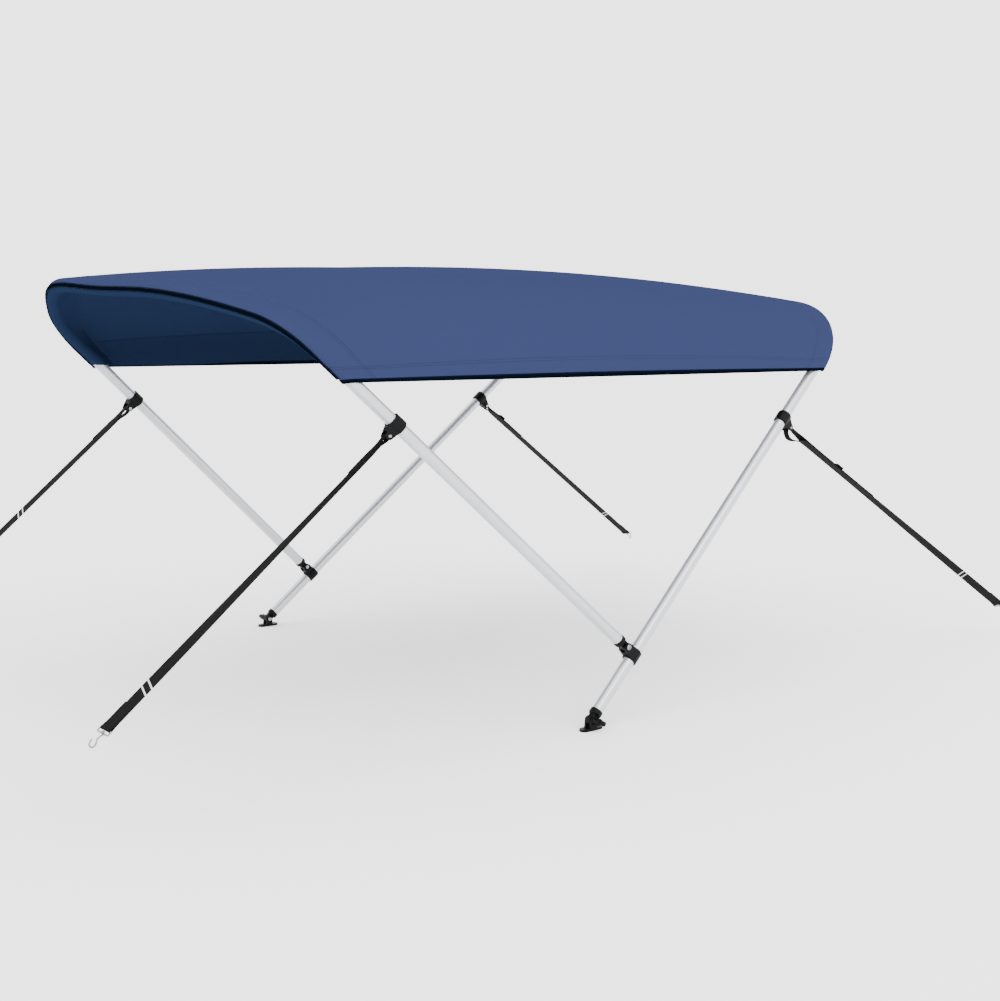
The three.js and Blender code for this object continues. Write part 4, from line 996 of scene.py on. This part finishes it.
def strap_route(lay):
    """The webbing's path as (distance from the bolt, lift), from its fold at the ring to its tail."""
    strap, length, strand = lay.strap, lay.length, lay.strand
    join, droop, slider, tail = (strap[key] * MM for key in ("join", "droop", "slider", "tail"))
    steady = list(np.arange(join, length - FOLD_LENGTH, STRAND_STEP)) + [tail]
    steady = sorted(mark for mark in steady if not slider or abs(mark - slider) >= SLIDER_CLEARANCE)
    fold = [length - back for back in np.linspace(FOLD_LENGTH, FOLD_CLEARANCE, FOLD_POINTS)]
    route = [(place, strand(place)) for place in fold]
    for angle in np.linspace(math.pi / 2, -math.pi / 2, FOLD_ARC_POINTS):
        route.append((length + FOLD_RADIUS * math.cos(angle), FOLD_RADIUS * math.sin(angle)))
    route += [(place, -strand(place)) for place in reversed(fold)]
    lower = sorted(steady + ([slider] if slider else []), reverse=True)
    route += [(mark, -strand(mark)) for mark in lower]
    join_lift = strand(join)
    for share, sag in LOWER_STRAND:
        route.append((join * share, -join_lift - (droop - join_lift) * sag))
    route.append((0, -max(LOOP_RADIUS, droop * UNDER_BOLT_SAG)))
    for degrees in LOOP_TURN:
        angle = math.radians(degrees)
        route.append((LOOP_RADIUS * math.cos(angle), LOOP_RADIUS * math.sin(angle)))
    route += [(join * share, mix(LOOP_RADIUS, join_lift, share)) for share in UPPER_STRAND]
    over = (WEB_SOLID_THICKNESS + BETWEEN_STRANDS) / 2 + SLIDER_THICKNESS + 2 * GAP + WEB_SOLID_THICKNESS
    upper = [mark for mark in steady if mark <= tail]
    if slider:
        upper += [slider + shift for shift in np.linspace(-SLIDER_REACH, SLIDER_REACH, SLIDER_POINTS)]
    for mark in sorted(upper):
        rise = 1 - float(ease(abs(mark - slider), OVER_SLIDER, BESIDE_SLIDER)) if slider else 0
        route.append((mark, mix(strand(mark), over, rise)))
    return route


def bent_curve(points):
    """Rounds off the corners of a route without moving its straight stretches."""
    points = np.asarray(points, float)
    smooth = points.copy()
    smooth[1:-1] = 0.5 * points[1:-1] + 0.25 * (points[:-2] + points[2:])
    return smooth


def ring_points(lay):
    """The ring's wire: a rounded rectangle that lies flat with the strap's end."""
    width = lay.width(lay.length)
    reach = RING_DEPTH / 2 - RING_CORNER
    points = []
    for turns, (ahead, aside) in enumerate(((1, 1), (-1, 1), (-1, -1), (1, -1))):
        for share in np.linspace(0, 1, CORNER_POINTS):
            angle = (turns + share) * math.pi / 2
            along = RING_DEPTH / 2 + ahead * reach + RING_CORNER * math.cos(angle)
            across = aside * (RING_HALF_WIDTH - RING_CORNER) + RING_CORNER * math.sin(angle)
            points.append(lay.point(lay.length + along, 0) + width * across)
    return points


def arc(degrees, centre, radius):
    """Points of an arc in a plane, about a centre on its first axis."""
    turns = [math.radians(step) for step in degrees]
    return [(centre + radius * math.cos(turn), radius * math.sin(turn)) for turn in turns]


def hook_route():
    """The hook's wire as places along and aside, from its eye on the ring to its open tip."""
    eye = arc(HOOK_EYE_TURN, 0, HOOK_EYE_RADIUS)
    bend = arc(HOOK_BEND_TURN, HOOK_BEND_CENTRE, HOOK_BEND_RADIUS)
    return eye + HOOK_SHANK + bend + [HOOK_TIP]


def add_wire(name, points, **settings):
    mesh = tube_mesh("wire_" + name, points, WIRE_RADIUS, WIRE_SIDES, **settings)
    return add_piece(mesh, [STEEL], ["strap_" + name])


def add_strap(strap):
    lay = StrapLay(strap)
    name = strap["name"]
    route = bent_curve(strap_route(lay))
    across = np.linspace(-0.5, 0.5, WEB_POINTS) * WEB_WIDTH
    middles = np.array([lay.point(*stop) for stop in route])
    gather = lay.gather(route[:, 0])
    widths = np.array([lay.width(stop[0]) for stop in route]) / gather[:, None]
    grid = middles[:, None] + widths[:, None] * across[:, None]
    from_end = np.broadcast_to((lay.length - route[:, 0])[:, None], grid.shape[:2])
    u = np.broadcast_to(across, grid.shape[:2])
    mesh = sheet_mesh("webbing_" + name, grid, WEB_THICKNESS * gather, uv=(u, from_end))
    material = webbing_material("webbing_" + name, strap["marks"])
    piece = add_piece(mesh, [material, material], ["strap_" + name])
    line = [lay.point(lay.length, aside) + lay.way * (RING_DEPTH + along) for along, aside in hook_route()]
    wires = [
        add_wire("ring_" + name, ring_points(lay), closed=True, normal=lay.face(lay.length)),
        add_wire("hook_" + name, curve_through(line, WIRE_STEPS)),
    ]


for strap in STRAPS:
    add_strap(strap)


# Fittings keep their solids and take the detailed materials

STEEL_FITTINGS = ("jaw_screw", "clamp_bolt", "deck_hinge_pin")
MOULDED_FITTINGS = (
    "main_eye", "front_eye", "deck_hinge_base", "deck_hinge_knob", "jaw_slide", "strap_clamp", "slider")

for prefixes, material in ((STEEL_FITTINGS, STEEL), (MOULDED_FITTINGS, MOULDING)):
    for name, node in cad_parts.items():
        if name.startswith(prefixes):
            node.data.materials.clear()
            node.data.materials.append(material)


# Camera, floor and light

def look_along(obj, forward):
    obj.rotation_mode = "QUATERNION"
    obj.rotation_quaternion = Vector(forward).to_track_quat("-Z", "Y")


def add_camera():
    data = bpy.data.cameras.new("camera")
    data.sensor_fit = "HORIZONTAL"
    data.sensor_width = CAMERA_SENSOR
    data.lens = CAMERA_LENS
    data.clip_end = CAMERA_REACH
    camera = bpy.data.objects.new("camera", data)
    camera.location = CAMERA_PLACE
    level = math.cos(CAMERA_PITCH)
    look_along(camera, (math.sin(CAMERA_YAW) * level, math.cos(CAMERA_YAW) * level, -math.sin(CAMERA_PITCH)))
    scene.collection.objects.link(camera)
    scene.camera = camera


def add_floor():
    mesh = bpy.data.meshes.new("floor")
    corners = [(x * FLOOR_HALF, y * FLOOR_HALF, 0) for x, y in ((-1, -1), (1, -1), (1, 1), (-1, 1))]
    mesh.from_pydata(corners, [], [(0, 1, 2, 3)])
    surface = Surface("pale_floor")
    mesh.materials.append(surface.finished(
        Base_Color=FLOOR_COLOUR, Roughness=1.0, Specular_IOR_Level=0.0,
        Emission_Color=WHITE, Emission_Strength=FLOOR_LIFT))
    floor = bpy.data.objects.new("floor", mesh)
    scene.collection.objects.link(floor)


def studio_world():
    """White all round, with strips that the tubes mirror as streaks along them."""
    world = bpy.data.worlds.new("studio")
    world.use_nodes = True
    nodes = Nodes(world.node_tree)
    x, y = nodes.first_two(nodes.node("TexCoord", output="Generated"))
    bearing = nodes.math("SUBTRACT", nodes.math("ARCTAN2", x, y), CAMERA_YAW)
    bearing = nodes.math("WRAP", bearing, math.pi, -math.pi)
    light = 1.0
    for place, half_width, dark in STUDIO_STRIPS:
        away = nodes.math("ABSOLUTE", nodes.math("SUBTRACT", bearing, math.radians(place)))
        edge, core = math.radians(half_width), math.radians(half_width * STRIP_CORE)
        inside = nodes.node("MapRange", dict(enumerate((away, edge, core, 0.0, dark))))
        light = nodes.math("SUBTRACT", light, inside)
    background = nodes.tree.nodes["Background"].inputs
    nodes.put(nodes.math("MULTIPLY", light, WORLD_STRENGTH), background["Strength"])
    nodes.put(WHITE, background["Color"])
    return world


def area_light(name, place, target, size, power):
    data = bpy.data.lights.new(name, "AREA")
    data.shape = "DISK"
    data.size = size
    data.energy = power
    light = bpy.data.objects.new(name, data)
    light.location = place
    look_along(light, Vector(target) - Vector(place))
    scene.collection.objects.link(light)


add_camera()
add_floor()
scene.world = studio_world()
area_light("key", place=(0.5, -4.5, 5.0), target=(0, 0, 0.6), size=3.0, power=120)
